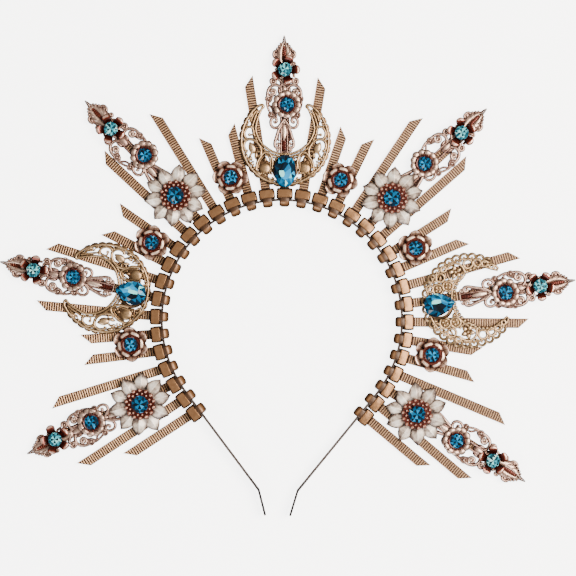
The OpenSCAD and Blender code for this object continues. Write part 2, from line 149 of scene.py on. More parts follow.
# --- Forms ---
class Form:
    """Points and faces in mm. A face has a finish, and a tone at each of its corners: 0 for a
    place in the shade and 1 for a bright one."""

    def __init__(self, finish=None):
        self.finish = finish
        self.points, self.faces, self.tones, self.finishes = [], [], [], []

    def add(self, shape, tone=0.5, finish=None, place=None, low=None):
        """A shape is points, faces and perhaps each point's level, from 0, where the tone is
        low, to 1, where it is tone. Or tone is a list for the points or a dict for the faces."""
        points, faces, *levels = shape
        if levels:
            low = tone * 0.15 if low is None else low
            tone = [low + (tone - low) * level for level in levels[0]]
        first = len(self.points)
        self.points += [place @ Vector(p) if place else Vector(p) for p in points]
        for i, face in enumerate(faces):
            self.faces.append([first + k for k in face])
            if isinstance(tone, list):
                self.tones.append([tone[k] for k in face])
            else:
                self.tones.append([tone[i] if isinstance(tone, dict) else tone] * len(face))
            self.finishes.append(finish or self.finish)
        return self

    def join(self, other, place=None):
        first = len(self.points)
        self.points += [place @ p if place else p for p in other.points]
        self.faces += [[first + k for k in f] for f in other.faces]
        self.tones += other.tones
        self.finishes += other.finishes
        return self

    def mirrored(self):
        """This form and its twin on the other side of the x axis."""
        twin = Form()
        twin.points = [Vector((p.x, -p.y, p.z)) for p in self.points]
        twin.faces = [f[::-1] for f in self.faces]
        twin.tones = [t[::-1] for t in self.tones]
        twin.finishes = list(self.finishes)
        return self.join(twin)

    def mesh(self, name, scale=0.001, sharp=38):
        """Edges over sharp degrees stay sharp, and all of them where it is 0."""
        used = list(dict.fromkeys(self.finishes))
        mesh = bpy.data.meshes.new(name)
        mesh.from_pydata([p * scale for p in self.points], [], self.faces)
        for finish in used:
            mesh.materials.append(finish)
        mesh.polygons.foreach_set("material_index", [used.index(f) for f in self.finishes])
        tone = mesh.attributes.new("tone", "FLOAT", "CORNER")
        tone.data.foreach_set("value", [t for face in self.tones for t in face])
        work = bmesh.new()
        work.from_mesh(mesh)
        bmesh.ops.remove_doubles(work, verts=work.verts, dist=1e-4 * scale)
        bmesh.ops.dissolve_degenerate(work, edges=work.edges, dist=1e-4 * scale)
        bmesh.ops.recalc_face_normals(work, faces=work.faces)
        work.to_mesh(mesh)
        work.free()
        mesh.polygons.foreach_set("use_smooth", [sharp > 0] * len(mesh.polygons))
        if sharp > 0:
            mesh.set_sharp_from_angle(angle=math.radians(sharp))
        mesh.validate()
        return mesh


def link(name, data):
    made = bpy.data.objects.new(name, data)
    bpy.context.scene.collection.objects.link(made)
    return made


def piece(name, form, stands_for, sharp=38):
    made = link(name, form.mesh(name, sharp=sharp))
    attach(made, "root")
    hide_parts(stands_for)


def loft(rings, closed=False, caps=True):
    """A skin over rings with the same number of points."""
    n = len(rings[0])
    points = [p for ring in rings for p in ring]
    faces = []
    for k in range(len(rings) if closed else len(rings) - 1):
        a, b = k * n, (k + 1) % len(rings) * n
        faces += [(a + i, a + (i + 1) % n, b + (i + 1) % n, b + i) for i in range(n)]
    if caps and not closed:
        faces += [tuple(range(n))[::-1], tuple(range(len(points) - n, len(points)))]
    return points, faces


def circle(sides, first=0.0):
    return [first + 2 * math.pi * k / sides for k in range(sides)]


def lathe(profile, sides=24, closed=False):
    """(radius, height) points spun about the z axis; a closed profile makes a ring."""
    return loft([[(r * math.cos(a), r * math.sin(a), z) for a in circle(sides)]
                 for r, z in profile], closed)


def wire(path, r, sides=8, z=0.5, closed=False):
    """A round wire along [x, y] points; r is one radius, or a list with one for each point."""
    n = len(path)
    radii = r if isinstance(r, list) else [r] * n
    around = circle(sides, math.pi / sides)
    rings = []
    for k, (x, y) in enumerate(path):
        a, b = (k - 1, (k + 1) % n) if closed else (max(k - 1, 0), min(k + 1, n - 1))
        dx, dy = path[b][0] - path[a][0], path[b][1] - path[a][1]
        size, radius = math.hypot(dx, dy) or 1, radii[k]
        rings.append([
            (x - dy / size * radius * math.cos(t), y + dx / size * radius * math.cos(t),
             z + radius * math.sin(t)) for t in around
        ])
    # The levels paint a highlight along the top of the wire and shade down its sides and under it.
    return *loft(rings, closed), [max(0, math.sin(t)) ** 1.8 for t in around] * n


def smooth(points, steps=4):
    """A smooth path through the points."""
    path = []
    for k in range(len(points) - 1):
        a, b = points[max(k - 1, 0)], points[k]
        c, d = points[k + 1], points[min(k + 2, len(points) - 1)]
        for j in range(steps):
            t = j / steps
            path.append(tuple(
                0.5 * (2 * q + (r - p) * t + (2 * p - 5 * q + 4 * r - u) * t * t
                       + (3 * q - p - 3 * r + u) * t ** 3)
                for p, q, r, u in zip(a, b, c, d)
            ))
    return path + [points[-1]]


def arc(x, y, r, start, end, step=18, end_r=None):
    """Points on an arc, in degrees, or on a spiral where end_r is another radius."""
    n = max(2, math.ceil(abs(end - start) / step))
    end_r = r if end_r is None else end_r
    points = []
    for k in range(n + 1):
        a, now = math.radians(start + (end - start) * k / n), r + (end_r - r) * k / n
        points.append((x + now * math.cos(a), y + now * math.sin(a)))
    return points


def bow(p, q, rise, n=8):
    """Points from p to q on a shallow arc that bulges to the left of that way by rise."""
    dx, dy = q[0] - p[0], q[1] - p[1]
    size = math.hypot(dx, dy)
    points = []
    for t in (k / n for k in range(n + 1)):
        bulge = 4 * rise * t * (1 - t)
        points.append((p[0] + dx * t - dy / size * bulge, p[1] + dy * t + dx / size * bulge))
    return points


def taper(n, r, start=0.35, end=0.35):
    """Radii of a wire that thins towards its ends, to these shares of r."""
    return [r * min(1, start + (1 - start) * t * 4, end + (1 - end) * (1 - t) * 4)
            for t in (k / (n - 1) for k in range(n))]


def dome(outline, z, height, floor):
    """A low domed body on a closed outline, with its edge at z and a flat floor. Its levels paint
    a highlight on the crown and shade towards the edge.
    """
    n = len(outline)
    cx, cy = sum(p[0] for p in outline) / n, sum(p[1] for p in outline) / n
    rings, levels = [[(x, y, floor) for x, y in outline]], [0] * n
    for share in (1, 0.93, 0.72, 0.4):
        up = z + height * math.sqrt(1 - share * share)
        rings.append([(cx + (x - cx) * share, cy + (y - cy) * share, up) for x, y in outline])
        levels += [min(1, 1.6 * (1 - share) + 0.1)] * n
    points, faces = loft(rings, caps=False)
    top = len(points)
    faces += [(top - n + i, top - n + (i + 1) % n, top) for i in range(n)]
    faces.append(tuple(range(n))[::-1])
    return points + [(cx, cy, z + height)], faces, levels + [1]


def bead(x, y, z, r, sides=8):
    # Radius and height as shares of r, and level: a painted highlight on top and painted shade
    # underneath.
    rows = ((0.55, -0.83, 0), (1, -0.1, 0.1), (0.93, 0.37, 0.4), (0.6, 0.8, 0.85), (0.22, 0.97, 1))
    rings = [[(x + r * wide * math.cos(a), y + r * wide * math.sin(a), z + r * up)
              for a in circle(sides)] for wide, up, _ in rows]
    return *loft(rings), [level for _, _, level in rows for _ in range(sides)]


def round_outline(x, y, r, sides=12, long=1.0):
    return [(x + r * long * math.cos(a), y + r * math.sin(a)) for a in circle(sides)]


def leaf_outline(p, q, width, n=7, belly=0.42):
    """A pointed leaf from p to q, widest at belly of its length."""
    dx, dy = q[0] - p[0], q[1] - p[1]
    size = math.hypot(dx, dy)
    left, right = [], []
    for t in (k / n for k in range(1, n)):
        swell = math.sin(math.pi * t ** (math.log(0.5) / math.log(belly))) ** 0.8 * width / 2
        x, y = p[0] + dx * t, p[1] + dy * t
        left.append((x - dy / size * swell, y + dx / size * swell))
        right.append((x + dy / size * swell, y - dx / size * swell))
    return [p] + right + [q] + left[::-1]


def petal(finish, rows, thick=0.4, bulge=1, gleam=0, border=0.3, shade=0):
    """A curved petal. Each row is (x, half width, middle height, edge height, tone), from its base
    to its end, and the row tones paint light and shade along it. bulge is 1 for a crease along the
    middle and 2 for a round hollow. gleam lightens the middle line, a painted highlight, and
    darkens it where gleam is below 0, a painted shade. border is how light the painted shade
    leaves the petal next to its edge, and shade is how much darker painted shade makes its one
    half. The underside is painted in shade."""
    across = {-1: 0, -0.85: border, -0.62: 0.94, -0.1: 1, 0: 1, 0.1: 1, 0.62: 0.94,
              0.85: border, 1: 0}
    top, tones = [], []
    for x, half, middle, edge, tone in rows:
        for v, light in across.items():
            pull = (1 - math.sqrt(1 - 0.25 * v * v)) * half
            top.append((x - pull, v * half, middle + (edge - middle) * abs(v) ** bulge))
            tones.append(tone * light * (1 - shade * (v < 0)) + gleam * (v == 0))
    w, under = len(across), len(top)
    faces = []
    for start in range(0, under - w, w):
        for a in range(start, start + w - 1):
            b = a + under
            faces += [(a, a + w, a + w + 1, a + 1), (b, b + 1, b + w + 1, b + w)]
    rim = [*range(w), *range(2 * w - 1, under, w), *range(under - 2, under - w - 1, -1),
           *range(under - 2 * w, 0, -w)]
    faces += [(a, b, b + under, a + under) for a, b in zip(rim, rim[1:] + rim[:1])]
    points = top + [(x, y, z - thick) for x, y, z in top]
    return Form(finish).add((points, faces), tones + [0.3 * t for t in tones])


# --- Materials ---
def colour(code):
    """A linear colour from its sRGB hex value."""
    parts = [int(code[k : k + 2], 16) / 255 for k in (0, 2, 4)]
    return [p / 12.92 if p <= 0.04045 else ((p + 0.055) / 1.055) ** 2.4 for p in parts] + [1]


def node(tree, kind, inputs=None, **settings):
    """Adds a node with its settings. An input is a value, a socket or a node's first output."""
    made = tree.nodes.new(kind)
    for name, value in settings.items():
        setattr(made, name, value)
    for name, value in (inputs or {}).items():
        if isinstance(value, bpy.types.Node):
            value = value.outputs[0]
        if isinstance(value, bpy.types.NodeSocket):
            tree.links.new(value, made.inputs[name])
        else:
            made.inputs[name].default_value = value
    return made


def empty_tree(owner):
    owner.use_nodes = True
    owner.node_tree.nodes.clear()
    return owner.node_tree


def finish(name, ramp, mottle, grain, depth, metallic, roughness, gloss="FFFFFF"):
    """A surface whose colour follows its tone along a ramp of {tone: hex colour}. mottle is the
    size in mm of its uneven patches and how far they move the tone, grain and depth are the size
    and depth in mm of its fine grain, and gloss is the tint of its sheen."""
    material = bpy.data.materials.new(name)
    tree = empty_tree(material)
    place = node(tree, "ShaderNodeTexCoord").outputs["Object"]
    tone = node(tree, "ShaderNodeAttribute", attribute_name="tone").outputs["Fac"]
    patches = node(tree, "ShaderNodeTexNoise", {
        "Vector": place, "Scale": 1000 / mottle[0], "Detail": 3.0, "Roughness": 0.6})
    fine = node(tree, "ShaderNodeTexNoise", {
        "Vector": place, "Scale": 1000 / grain, "Detail": 2.0})
    usual = {"From Min": 0.3, "From Max": 0.7}  # nearly all of a noise lies between these
    shift = node(tree, "ShaderNodeMapRange", {
        "Value": patches, **usual, "To Min": -mottle[1], "To Max": mottle[1]})
    rough = node(tree, "ShaderNodeMapRange", {
        "Value": fine, **usual, "To Min": roughness * 0.8, "To Max": roughness * 1.2})
    mixed = node(tree, "ShaderNodeMath", {0: tone, 1: shift}, operation="ADD")
    shades = node(tree, "ShaderNodeValToRGB", {"Fac": mixed})
    points = shades.color_ramp.elements
    for k, (at, code) in enumerate(ramp.items()):
        point = points[k] if k < 2 else points.new(at)
        point.position, point.color = at, colour(code)
    relief = node(tree, "ShaderNodeBump", {
        "Height": fine, "Strength": 1.0, "Distance": depth * 0.001})
    body = node(tree, "ShaderNodeBsdfPrincipled", {
        "Base Color": shades, "Metallic": metallic, "Roughness": rough, "Normal": relief,
        "Specular Tint": colour(gloss)})
    node(tree, "ShaderNodeOutputMaterial", {"Surface": body})
    return material


# Nylon 66 cable ties, moulded, then sprayed with a satin bronze paint: the metal flakes give the
# flat faces of the heads a soft sheen that turns from tan to brown with the light.
HEAD_PAINT = finish(
    "satin_bronze_paint_on_moulded_nylon_heads",
    {0: "2A1A10", 0.35: "543A28", 0.6: "886446", 1: "C8A078"},
    (2.2, 0.05), 0.35, 0.004, metallic=0.42, roughness=0.21, gloss="FFD2A0")
# The same paint on the bends, duller and browner than on the heads.
LOOP_PAINT = finish(
    "satin_bronze_paint_on_bent_nylon_straps",
    {0: "2A1608", 0.4: "5A3E26", 0.7: "825A3A", 1: "B88E66"},
    (1.6, 0.06), 0.35, 0.004, metallic=0.3, roughness=0.38)
# The same paint over the moulded ribs of a tail, with painted highlights on the crests and painted
# shade in the grooves.
STRAP_PAINT = finish(
    "satin_bronze_paint_on_ribbed_nylon_straps",
    {0: "3A2212", 0.4: "6C4226", 0.75: "B08054", 1: "E8BE94"},
    (3.0, 0.08), 0.4, 0.006, metallic=0.4, roughness=0.36)
# Stamped brass sheet with a rose-gold plating over a brown patina; the tones add painted
# highlights on the crests and painted shade down the sides and in the low places.
ROSE_GOLD = finish(
    "antiqued_rose_gold_plate_on_stamped_brass",
    {0: "1E100C", 0.35: "6E5048", 0.65: "A8887A", 1: "E2C6B2"},
    (1.4, 0.14), 0.3, 0.008, metallic=0.8, roughness=0.32)
# The same plating on the roses, brushed to a paler satin.
PETAL_GOLD = finish(
    "brushed_rose_gold_plate_on_stamped_petals",
    {0: "2C1610", 0.35: "7E5646", 0.65: "B48E7A", 1: "F0D6C0"},
    (1.4, 0.14), 0.3, 0.008, metallic=0.5, roughness=0.3)
# Stamped brass sheet with a pale gold plating and brown patina in the low places; the tones add
# painted shade there and down the sides, and painted highlights on the crests.
PALE_GOLD = finish(
    "antiqued_pale_gold_plate_on_stamped_brass",
    {0: "22150A", 0.35: "624830", 0.65: "987A58", 1: "CEAE88"},
    (1.4, 0.12), 0.3, 0.008, metallic=0.8, roughness=0.3)
# Pearly cream enamel sprayed on cast metal petals: glossy and cloudy, running down to grey-brown
# where the petals are painted in shade at their edges, bases and tips.
ENAMEL = finish(
    "pearl_cream_enamel_on_cast_petals",
    {0: "2C241E", 0.3: "7A6A62", 0.6: "D4C4B4", 1: "FFFAF0"},
    (2.2, 0.26), 0.5, 0.01, metallic=0.1, roughness=0.28)
# Copper plate left to darken: deep red-brown, with painted highlights that turn pink on the
# crests.
COPPER = finish(
    "dark_copper_plate_on_cast_flowers",
    {0: "140806", 0.3: "682416", 0.6: "985C46", 1: "ECC8B8"},
    (1.2, 0.1), 0.3, 0.008, metallic=0.5, roughness=0.22)
# Foil-backed cut glass in aquamarine blue; each facet's tone is a painted reflection, from dark
# navy up to a near-white glint.
BLUE_GLASS = finish(
    "foiled_cut_glass_capri_blue",
    {0: "000810", 0.3: "00243C", 0.6: "086A9C", 0.85: "10A4E4", 1: "90FFFF"},
    (1.5, 0.02), 0.4, 0.0005, metallic=0.0, roughness=0.1)
# Foil-backed cut glass in a pale sea green-blue; each facet's tone is a painted reflection, up to
# a white glint.
AQUA_GLASS = finish(
    "foiled_cut_glass_pale_aqua",
    {0: "001820", 0.3: "1C6074", 0.5: "3CB4CC", 0.75: "94FCFF", 1: "FFFFFF"},
    (1.5, 0.02), 0.4, 0.0005, metallic=0.0, roughness=0.1)
# Spring steel strip, cold rolled: brown where the ties sit, a dull grey-brown on the bare legs and
# nearly black at the turned ends.
STEEL = finish(
    "cold_rolled_spring_steel",
    {0: "2C1C14", 0.3: "443C38", 0.8: "524A46", 1: "141416"},
    (4.0, 0.05), 0.2, 0.004, metallic=0.3, roughness=0.45)

# --- Geometry Nodes: ribs on a strap and petals round a flower ---
KINDS = {"Part": "Object", "Material": "Material", "Count": "Int", "Seed": "Int"}


def tree_of(name, *labels):
    """A tree with inputs for the part, its material, the count and each label."""
    tree = bpy.data.node_groups.new(name, "GeometryNodeTree")
    tree.interface.new_socket("Geometry", in_out="OUTPUT", socket_type="NodeSocketGeometry")
    for label in ("Part", "Material", "Count", *labels):
        kind = "NodeSocket" + KINDS.get(label, "Float")
        tree.interface.new_socket(label, in_out="INPUT", socket_type=kind)
    return tree, node(tree, "NodeGroupInput").outputs


def finish_tree(tree, given, places, **turn_and_size):
    """Puts a copy of the part at each place, and gives them all the material."""
    row = node(tree, "GeometryNodeMeshLine", {"Count": given["Count"], "Offset": (0, 0, 0)})
    row = node(tree, "GeometryNodeSetPosition", {"Geometry": row, "Position": places})
    part = node(tree, "GeometryNodeObjectInfo", {"Object": given["Part"]}).outputs["Geometry"]
    made = node(tree, "GeometryNodeInstanceOnPoints", {
        "Points": row, "Instance": part, **turn_and_size})
    made = node(tree, "GeometryNodeRealizeInstances", {"Geometry": made})
    made = node(tree, "GeometryNodeSetMaterial", {
        "Geometry": made, "Material": given["Material"]})
    node(tree, "NodeGroupOutput", {0: made})
    return tree


def rib_tree():
    """Copies a rib along a strap, and narrows the ribs over the cut end to what is left there."""
    tree, given = tree_of(
        "strap_ribs", "Pitch", "Start", "Cut Start", "Cut End", "End Share", "End Shift")
    index = node(tree, "GeometryNodeInputIndex")
    x = node(tree, "ShaderNodeMath", {0: index, 1: given["Pitch"], 2: given["Start"]},
             operation="MULTIPLY_ADD")
    cut = {"Value": x, "From Min": given["Cut Start"], "From Max": given["Cut End"]}
    width = node(tree, "ShaderNodeMapRange", {
        **cut, "To Min": 1.0, "To Max": given["End Share"]})
    aside = node(tree, "ShaderNodeMapRange", {
        **cut, "To Min": 0.0, "To Max": given["End Shift"]})
    places = node(tree, "ShaderNodeCombineXYZ", {"X": x, "Y": aside})
    size = node(tree, "ShaderNodeCombineXYZ", {"X": 1.0, "Y": width, "Z": 1.0})
    return finish_tree(tree, given, places, Scale=size)


def ring_tree():
    """Copies a part round a circle. Each copy may tip, turn and grow a little by chance."""
    tree, given = tree_of(
        "flower_ring", "Radius", "First Angle", "Step", "Height", "Turn Chance", "Size Chance",
        "Tip Chance", "Seed")
    index = node(tree, "GeometryNodeInputIndex")
    second = node(tree, "ShaderNodeMath", {0: given["Seed"], 1: 7.0}, operation="ADD")
    turning, growth = (
        node(tree, "FunctionNodeRandomValue", {2: -1.0, 3: 1.0, "ID": index, "Seed": seed},
             data_type="FLOAT").outputs[1] for seed in (given["Seed"], second))
    angle = node(tree, "ShaderNodeMath", {0: index, 1: given["Step"], 2: given["First Angle"]},
                 operation="MULTIPLY_ADD")
    turn, size, tip = (
        node(tree, "ShaderNodeMath", {0: chance, 1: given[most], 2: start},
             operation="MULTIPLY_ADD")
        for chance, most, start in (
            (turning, "Turn Chance", angle), (growth, "Size Chance", 1.0),
            (growth, "Tip Chance", 0.0)))
    out = node(tree, "ShaderNodeCombineXYZ", {"X": given["Radius"], "Z": given["Height"]})
    places = node(tree, "ShaderNodeVectorRotate", {"Vector": out, "Angle": angle},
                  rotation_type="Z_AXIS")
    spin = node(tree, "ShaderNodeCombineXYZ", {"Y": tip, "Z": turn})
    return finish_tree(tree, given, places, Rotation=spin, Scale=size)


RIBS, RING = rib_tree(), ring_tree()


def grown(tree, part, **inputs):
    """What a tree makes of a form, with that form's finish."""
    helper = link("part", part.mesh("part", scale=1))
    holder = link("holder", bpy.data.meshes.new("holder"))
    modifier = holder.modifiers.new("tree", "NODES")
    modifier.node_group = tree
    inputs.update(Part=helper, Material=part.finish)
    for socket in tree.interface.items_tree:
        label = socket.name.replace(" ", "_")
        if label in inputs:
            modifier[socket.identifier] = inputs[label]
    depsgraph = bpy.context.evaluated_depsgraph_get()
    mesh = bpy.data.meshes.new_from_object(
        holder.evaluated_get(depsgraph), preserve_all_data_layers=True, depsgraph=depsgraph)
    holder.modifiers.remove(modifier)
    form = Form(part.finish)
    form.points = [v.co.copy() for v in mesh.vertices]
    form.faces = [list(p.vertices) for p in mesh.polygons]
    tones = [0.0] * len(mesh.loops)
    mesh.attributes["tone"].data.foreach_get("value", tones)
    form.tones = [[tones[k] for k in p.loop_indices] for p in mesh.polygons]
    form.finishes = [part.finish] * len(form.faces)
    for done in (holder, helper):
        bpy.data.objects.remove(done)
    bpy.data.meshes.remove(mesh)
    return form


def ring_of(part, count, **inputs):
    return grown(RING, part, Count=count, **{"Step": 2 * math.pi / count, **inputs})


# --- Cable ties ---
HALF = STRAP_W / 2
RAIL = 0.35  # width of the smooth rail on each side of the ribs


def tie_head():
    """The moulded head: a block with eased edges, its front leaning a little outwards."""
    half, middle, front = HEAD_W / 2, HEAD_X + HEAD_D / 2, HEAD_X + HEAD_D
    outline = [(front, 0.0), (front, half - 0.8), (front - 0.25, half - 0.35),
               (front - 0.7, half - 0.15), (HEAD_X + 2.6, half), (HEAD_X + 0.35, half - 0.08),
               (HEAD_X, half - 0.4), (HEAD_X, 0.0)]
    outline += [(x, -y) for x, y in outline[-2:0:-1]]
    rings, tones = [], []
    # Height, how far the edge is drawn in, and tone: painted shade on the sides and eased edges, a
    # lighter top, and a painted highlight on the top's edge by the steel.
    for z, ease, tone in (
        (0, 0.5, 0.1), (0.15, 0.2, 0.1), (0.5, 0, 0.1), (7.6, 0, 0.05), (8.0, 0.1, 0.0),
        (8.3, 0.34, 0.0), (8.44, 0.6, 0.05), (8.48, 0.75, 0.5), (8.5, 1.0, 0.62),
    ):
        tones += [max(tone, 0.3) if x == HEAD_X and z > 8.4 else tone for x, _ in outline]
        tip = 0.1 if z > 7 else 0
        rings.append([
            (middle + (x - middle) * (1 - ease / (HEAD_D / 2)), y * (1 - ease / half),
             z - tip * (x - HEAD_X)) for x, y in outline
        ])
    return Form(HEAD_PAINT).add(loft(rings), tones)


# The loop's rise over a round bend, in mm, and its tone, at angles from the head over the steel:
# painted shade where it leaves the head and as it turns down, and a painted highlight over its
# crest.
BEND = {68: (-0.7, 0.1), 76: (-0.65, 0.15), 84: (-0.58, 0.2), 92: (-0.5, 0.22), 100: (-0.42, 0.2),
        108: (-0.26, 0.25), 114: (-0.12, 0.6), 120: (-0.04, 0.85), 126: (0, 0.9),
        134: (0, 0.75), 144: (0, 0.55), 152: (0, 0.4), 160: (0, 0.25), 170: (0, 0.1),
        **{a: (0, 0.1) for a in range(180, 311, 10)}}


def tie_loop():
    """The strap's bend out of the head and round the steel, crowned and with rounded corners."""
    # Share of the half width, depth under the crown, and share of the tone, which paints the
    # rounded corners in shade.
    across = ((-1, 0.5, 0.1), (-0.88, 0.2, 0.35), (-0.6, 0.04, 0.9), (0, 0, 1), (0.6, 0.04, 0.9),
              (0.88, 0.2, 0.35), (1, 0.5, 0.1), (1, LOOP_T - 0.2, 0.1), (-1, LOOP_T - 0.2, 0.1))
    rings, tones = [], []
    for a, (rise, tone) in BEND.items():
        c, s = math.cos(math.radians(a)), math.sin(math.radians(a))
        wide = HALF + 0.15 - 0.6 * max(0, 1 - abs(a - 184) / 36) ** 1.5
        rings.append([
            (LOOP_X + (LOOP_R + rise - sunk) * c, wide * share,
             LOOP_Z + (LOOP_R + rise - sunk) * s) for share, sunk, _ in across
        ])
        tones += [tone * light for _, _, light in across]
    return Form(LOOP_PAINT).add(loft(rings), tones)


def tie_tail(tie, rib):
    """The tail: a thin strap with two smooth side rails and ribs between them. It ends in a blunt
    point under a spire, and in a slanted cut elsewhere."""
    floor, top = TAIL_TOP - TOOTH_H, TAIL_TOP
    # Half of the section, from its underside to the floor between the ribs: y, z and tone. The
    # tones paint shade on the underside and sides and on the floor between the ribs.
    side = [(HALF - 0.15, TAIL_Z, 0.1), (HALF, TAIL_Z + 0.2, 0.1), (HALF, top - 0.22, 0.25),
            (HALF - 0.12, top - 0.08, 0.5), (HALF - 0.3, top - 0.12, 0.4),
            (HALF - 0.42, floor, 0.0)]
    other = [(-y, z, tone) for y, z, tone in side[::-1]]
    section = other[-1:] + side + other[:-1]
    sector = (tie - 1) // 5
    way = 5 * sector + 3 - tie  # how many ties away the sector's spire is
    first = HEAD_X + HEAD_D + 0.9
    start, past = HEAD_X + 1, 0
    if way == 0:
        length, blunt = SPIRES[sector][2] - 4.8, 0.375
        stations = ((start, 1, 0), (length - 3.6, 1, 0), (length, blunt, 0))
        cut = {"Cut_Start": length - 3.6, "Cut_End": length, "End_Share": blunt}
    else:
        length = LONG_TAIL if abs(way) == 1 else SHORT_TAIL
        length += tail_row(tie)[2 if tie < TOP_TIE else 3]
        past = CUT_SLANT / 2
        stations = ((start, 1, 0), (length, 1, math.copysign(past, way)))
        cut = {"Cut_Start": length - past - 0.2, "Cut_End": length + past - 0.2,
               "End_Shift": -math.copysign(HALF - RAIL, way)}
    rings = [[(x - slant * y / HALF, y * wide, z) for y, z, _ in section]
             for x, wide, slant in stations]
    form = Form(STRAP_PAINT).add(loft(rings), [tone for _, _, tone in section] * len(rings))
    count = int((length + past - 0.7 - first) / TOOTH_PITCH) + 1
    return form.join(grown(RIBS, rib, Count=count, Pitch=TOOTH_PITCH, Start=first, **cut))


def rib_form():
    """One rib, with its steeper side towards the head."""
    floor = TAIL_TOP - TOOTH_H - 0.05
    # x, height and tone: a painted highlight on the crest and painted shade at its feet.
    section = ((-0.3, 0.02, 0.0), (-0.22, 0.26, 0.8), (0, 0.36, 1.0), (0.26, 0.25, 0.9),
               (0.3, 0, 0.0))
    rings = [[(x, y, floor + z) for x, z, _ in section] for y in (RAIL - HALF, HALF - RAIL)]
    return Form(STRAP_PAINT).add(loft(rings), [tone for _, _, tone in section] * 2)


def make_ties():
    head, loop, rib = tie_head(), tie_loop(), rib_form()
    for tie in range(1, TIES + 1):
        form = Form().join(head, at_head(tie)).join(loop, at_head(tie))
        form.join(tie_tail(tie, rib), at_tail(tie))
        piece(f"cable_tie_{tie:02d}", form, f"tie_{tie:02d}")


# --- Stones ---
def round_edge(a, size):
    return size * math.cos(a), size * math.sin(a)


def oval_edge(a, size):
    return 8 * size * math.cos(a), 5.5 * size * math.sin(a)


def pear_edge(a, size):
    wide = 1.75 + 5.4 * abs(math.sin(a / 2))
    return 7.75 * size * math.cos(a), wide * size * math.sin(a)


def brilliant(edge, r, heights, seed, n=8, window=None):
    """A cut stone: a table seen as a star of wedges, star facets, kites, girdle facets, a girdle
    and a foiled back. heights are (table, stars, girdle top, girdle bottom, back). Every facet's
    tone is a painted reflection, varied at random. A window paints a bright reflection on the
    table, with painted shade on the facets towards its dark side and lighter facets away from it."""
    chance = random.Random(seed)
    table, stars, top, bottom, back = heights
    step = 2 * math.pi / n
    points = [(*edge(step * k, 0.56 * r), table) for k in range(n)]
    points += [(*edge(step * (k + 0.5), 0.8 * r), stars) for k in range(n)]
    for share, z in ((1, top), (1, bottom), (0.45, back)):
        points += [(*edge(step * k / 2, share * r), z) for k in range(2 * n)]
    star, girdle, under, low, middle = n, 2 * n, 4 * n, 6 * n, 8 * n
    faces, tones = [], {}

    def facet(corners, tone, spread):
        if window:
            x = sum(points[c][0] for c in corners) / len(corners)
            y = sum(points[c][1] for c in corners) / len(corners)
            away = math.atan2(y, x) - math.radians(window[4])
            tone += (0.1 - 0.2 * math.cos(away)) * (len(corners) < 5)
        tones[len(faces)] = min(1, max(0, tone + chance.uniform(-spread, spread)))
        faces.append(corners)

    if window:
        wx, wy, wl, ww, shade = window
        for k in range(n):
            c, d = math.cos(step * k), math.sin(step * k)
            grow = 1 / max(abs(c), abs(d))
            points.append((wx + wl * c * grow, wy + ww * d * grow, table))
        for k in range(n):
            after = (k + 1) % n
            dark = math.cos(step * (k + 0.5) - math.radians(shade)) > 0.6
            facet((k, after, middle + after, middle + k), 0.15 if dark else 0.55, 0.12)
        facet(tuple(range(middle, middle + n)), 1.0, 0.0)
    else:
        points.append((0, 0, table))
        for k in range(n):
            facet((k, (k + 1) % n, middle), 0.0 if k % 2 else 0.62, 0.2)
    for k in range(n):
        facet((k, star + k, (k + 1) % n), 0.35, 0.35)
        facet((k, star + (k - 1) % n, girdle + 2 * k), 0.15, 0.15)
        facet((k, girdle + 2 * k, star + k), 0.55, 0.35)
        facet((star + k, girdle + 2 * k, girdle + 2 * k + 1), 0.2, 0.2)
        facet((star + k, girdle + 2 * k + 1, girdle + (2 * k + 2) % (2 * n)), 0.4, 0.35)
    for k in range(2 * n):
        after = (k + 1) % (2 * n)
        facet((girdle + k, under + k, under + after, girdle + after), 0.25, 0.1)
        facet((under + k, low + k, low + after, under + after), 0.1, 0.1)
    tones[len(faces)] = 0.1
    faces.append(tuple(range(low, low + 2 * n)))
    return (points, faces), tones


def small_stone(d, seed):
    r = d / 2
    return brilliant(round_edge, r, (0.42 * r, 0.27 * r, 0.04 * r, -0.05 * r, -0.42 * r), seed)


def crystal(edge, seed, window):
    return brilliant(edge, 1, (2.2, 1.5, 0.2, -0.3, -1.9), seed, 10, window)


# Each crystal's window, a painted reflection: its middle, half length and half width, and where
# its painted shade is.
OVAL_WINDOW = (-1.5, 1.8, 1.6, 1.5, 10)
PEAR_WINDOWS = ((-1.2, -0.5, 2.4, 0.9, 120), (-1.6, 1.6, 2.4, 1.0, -90))


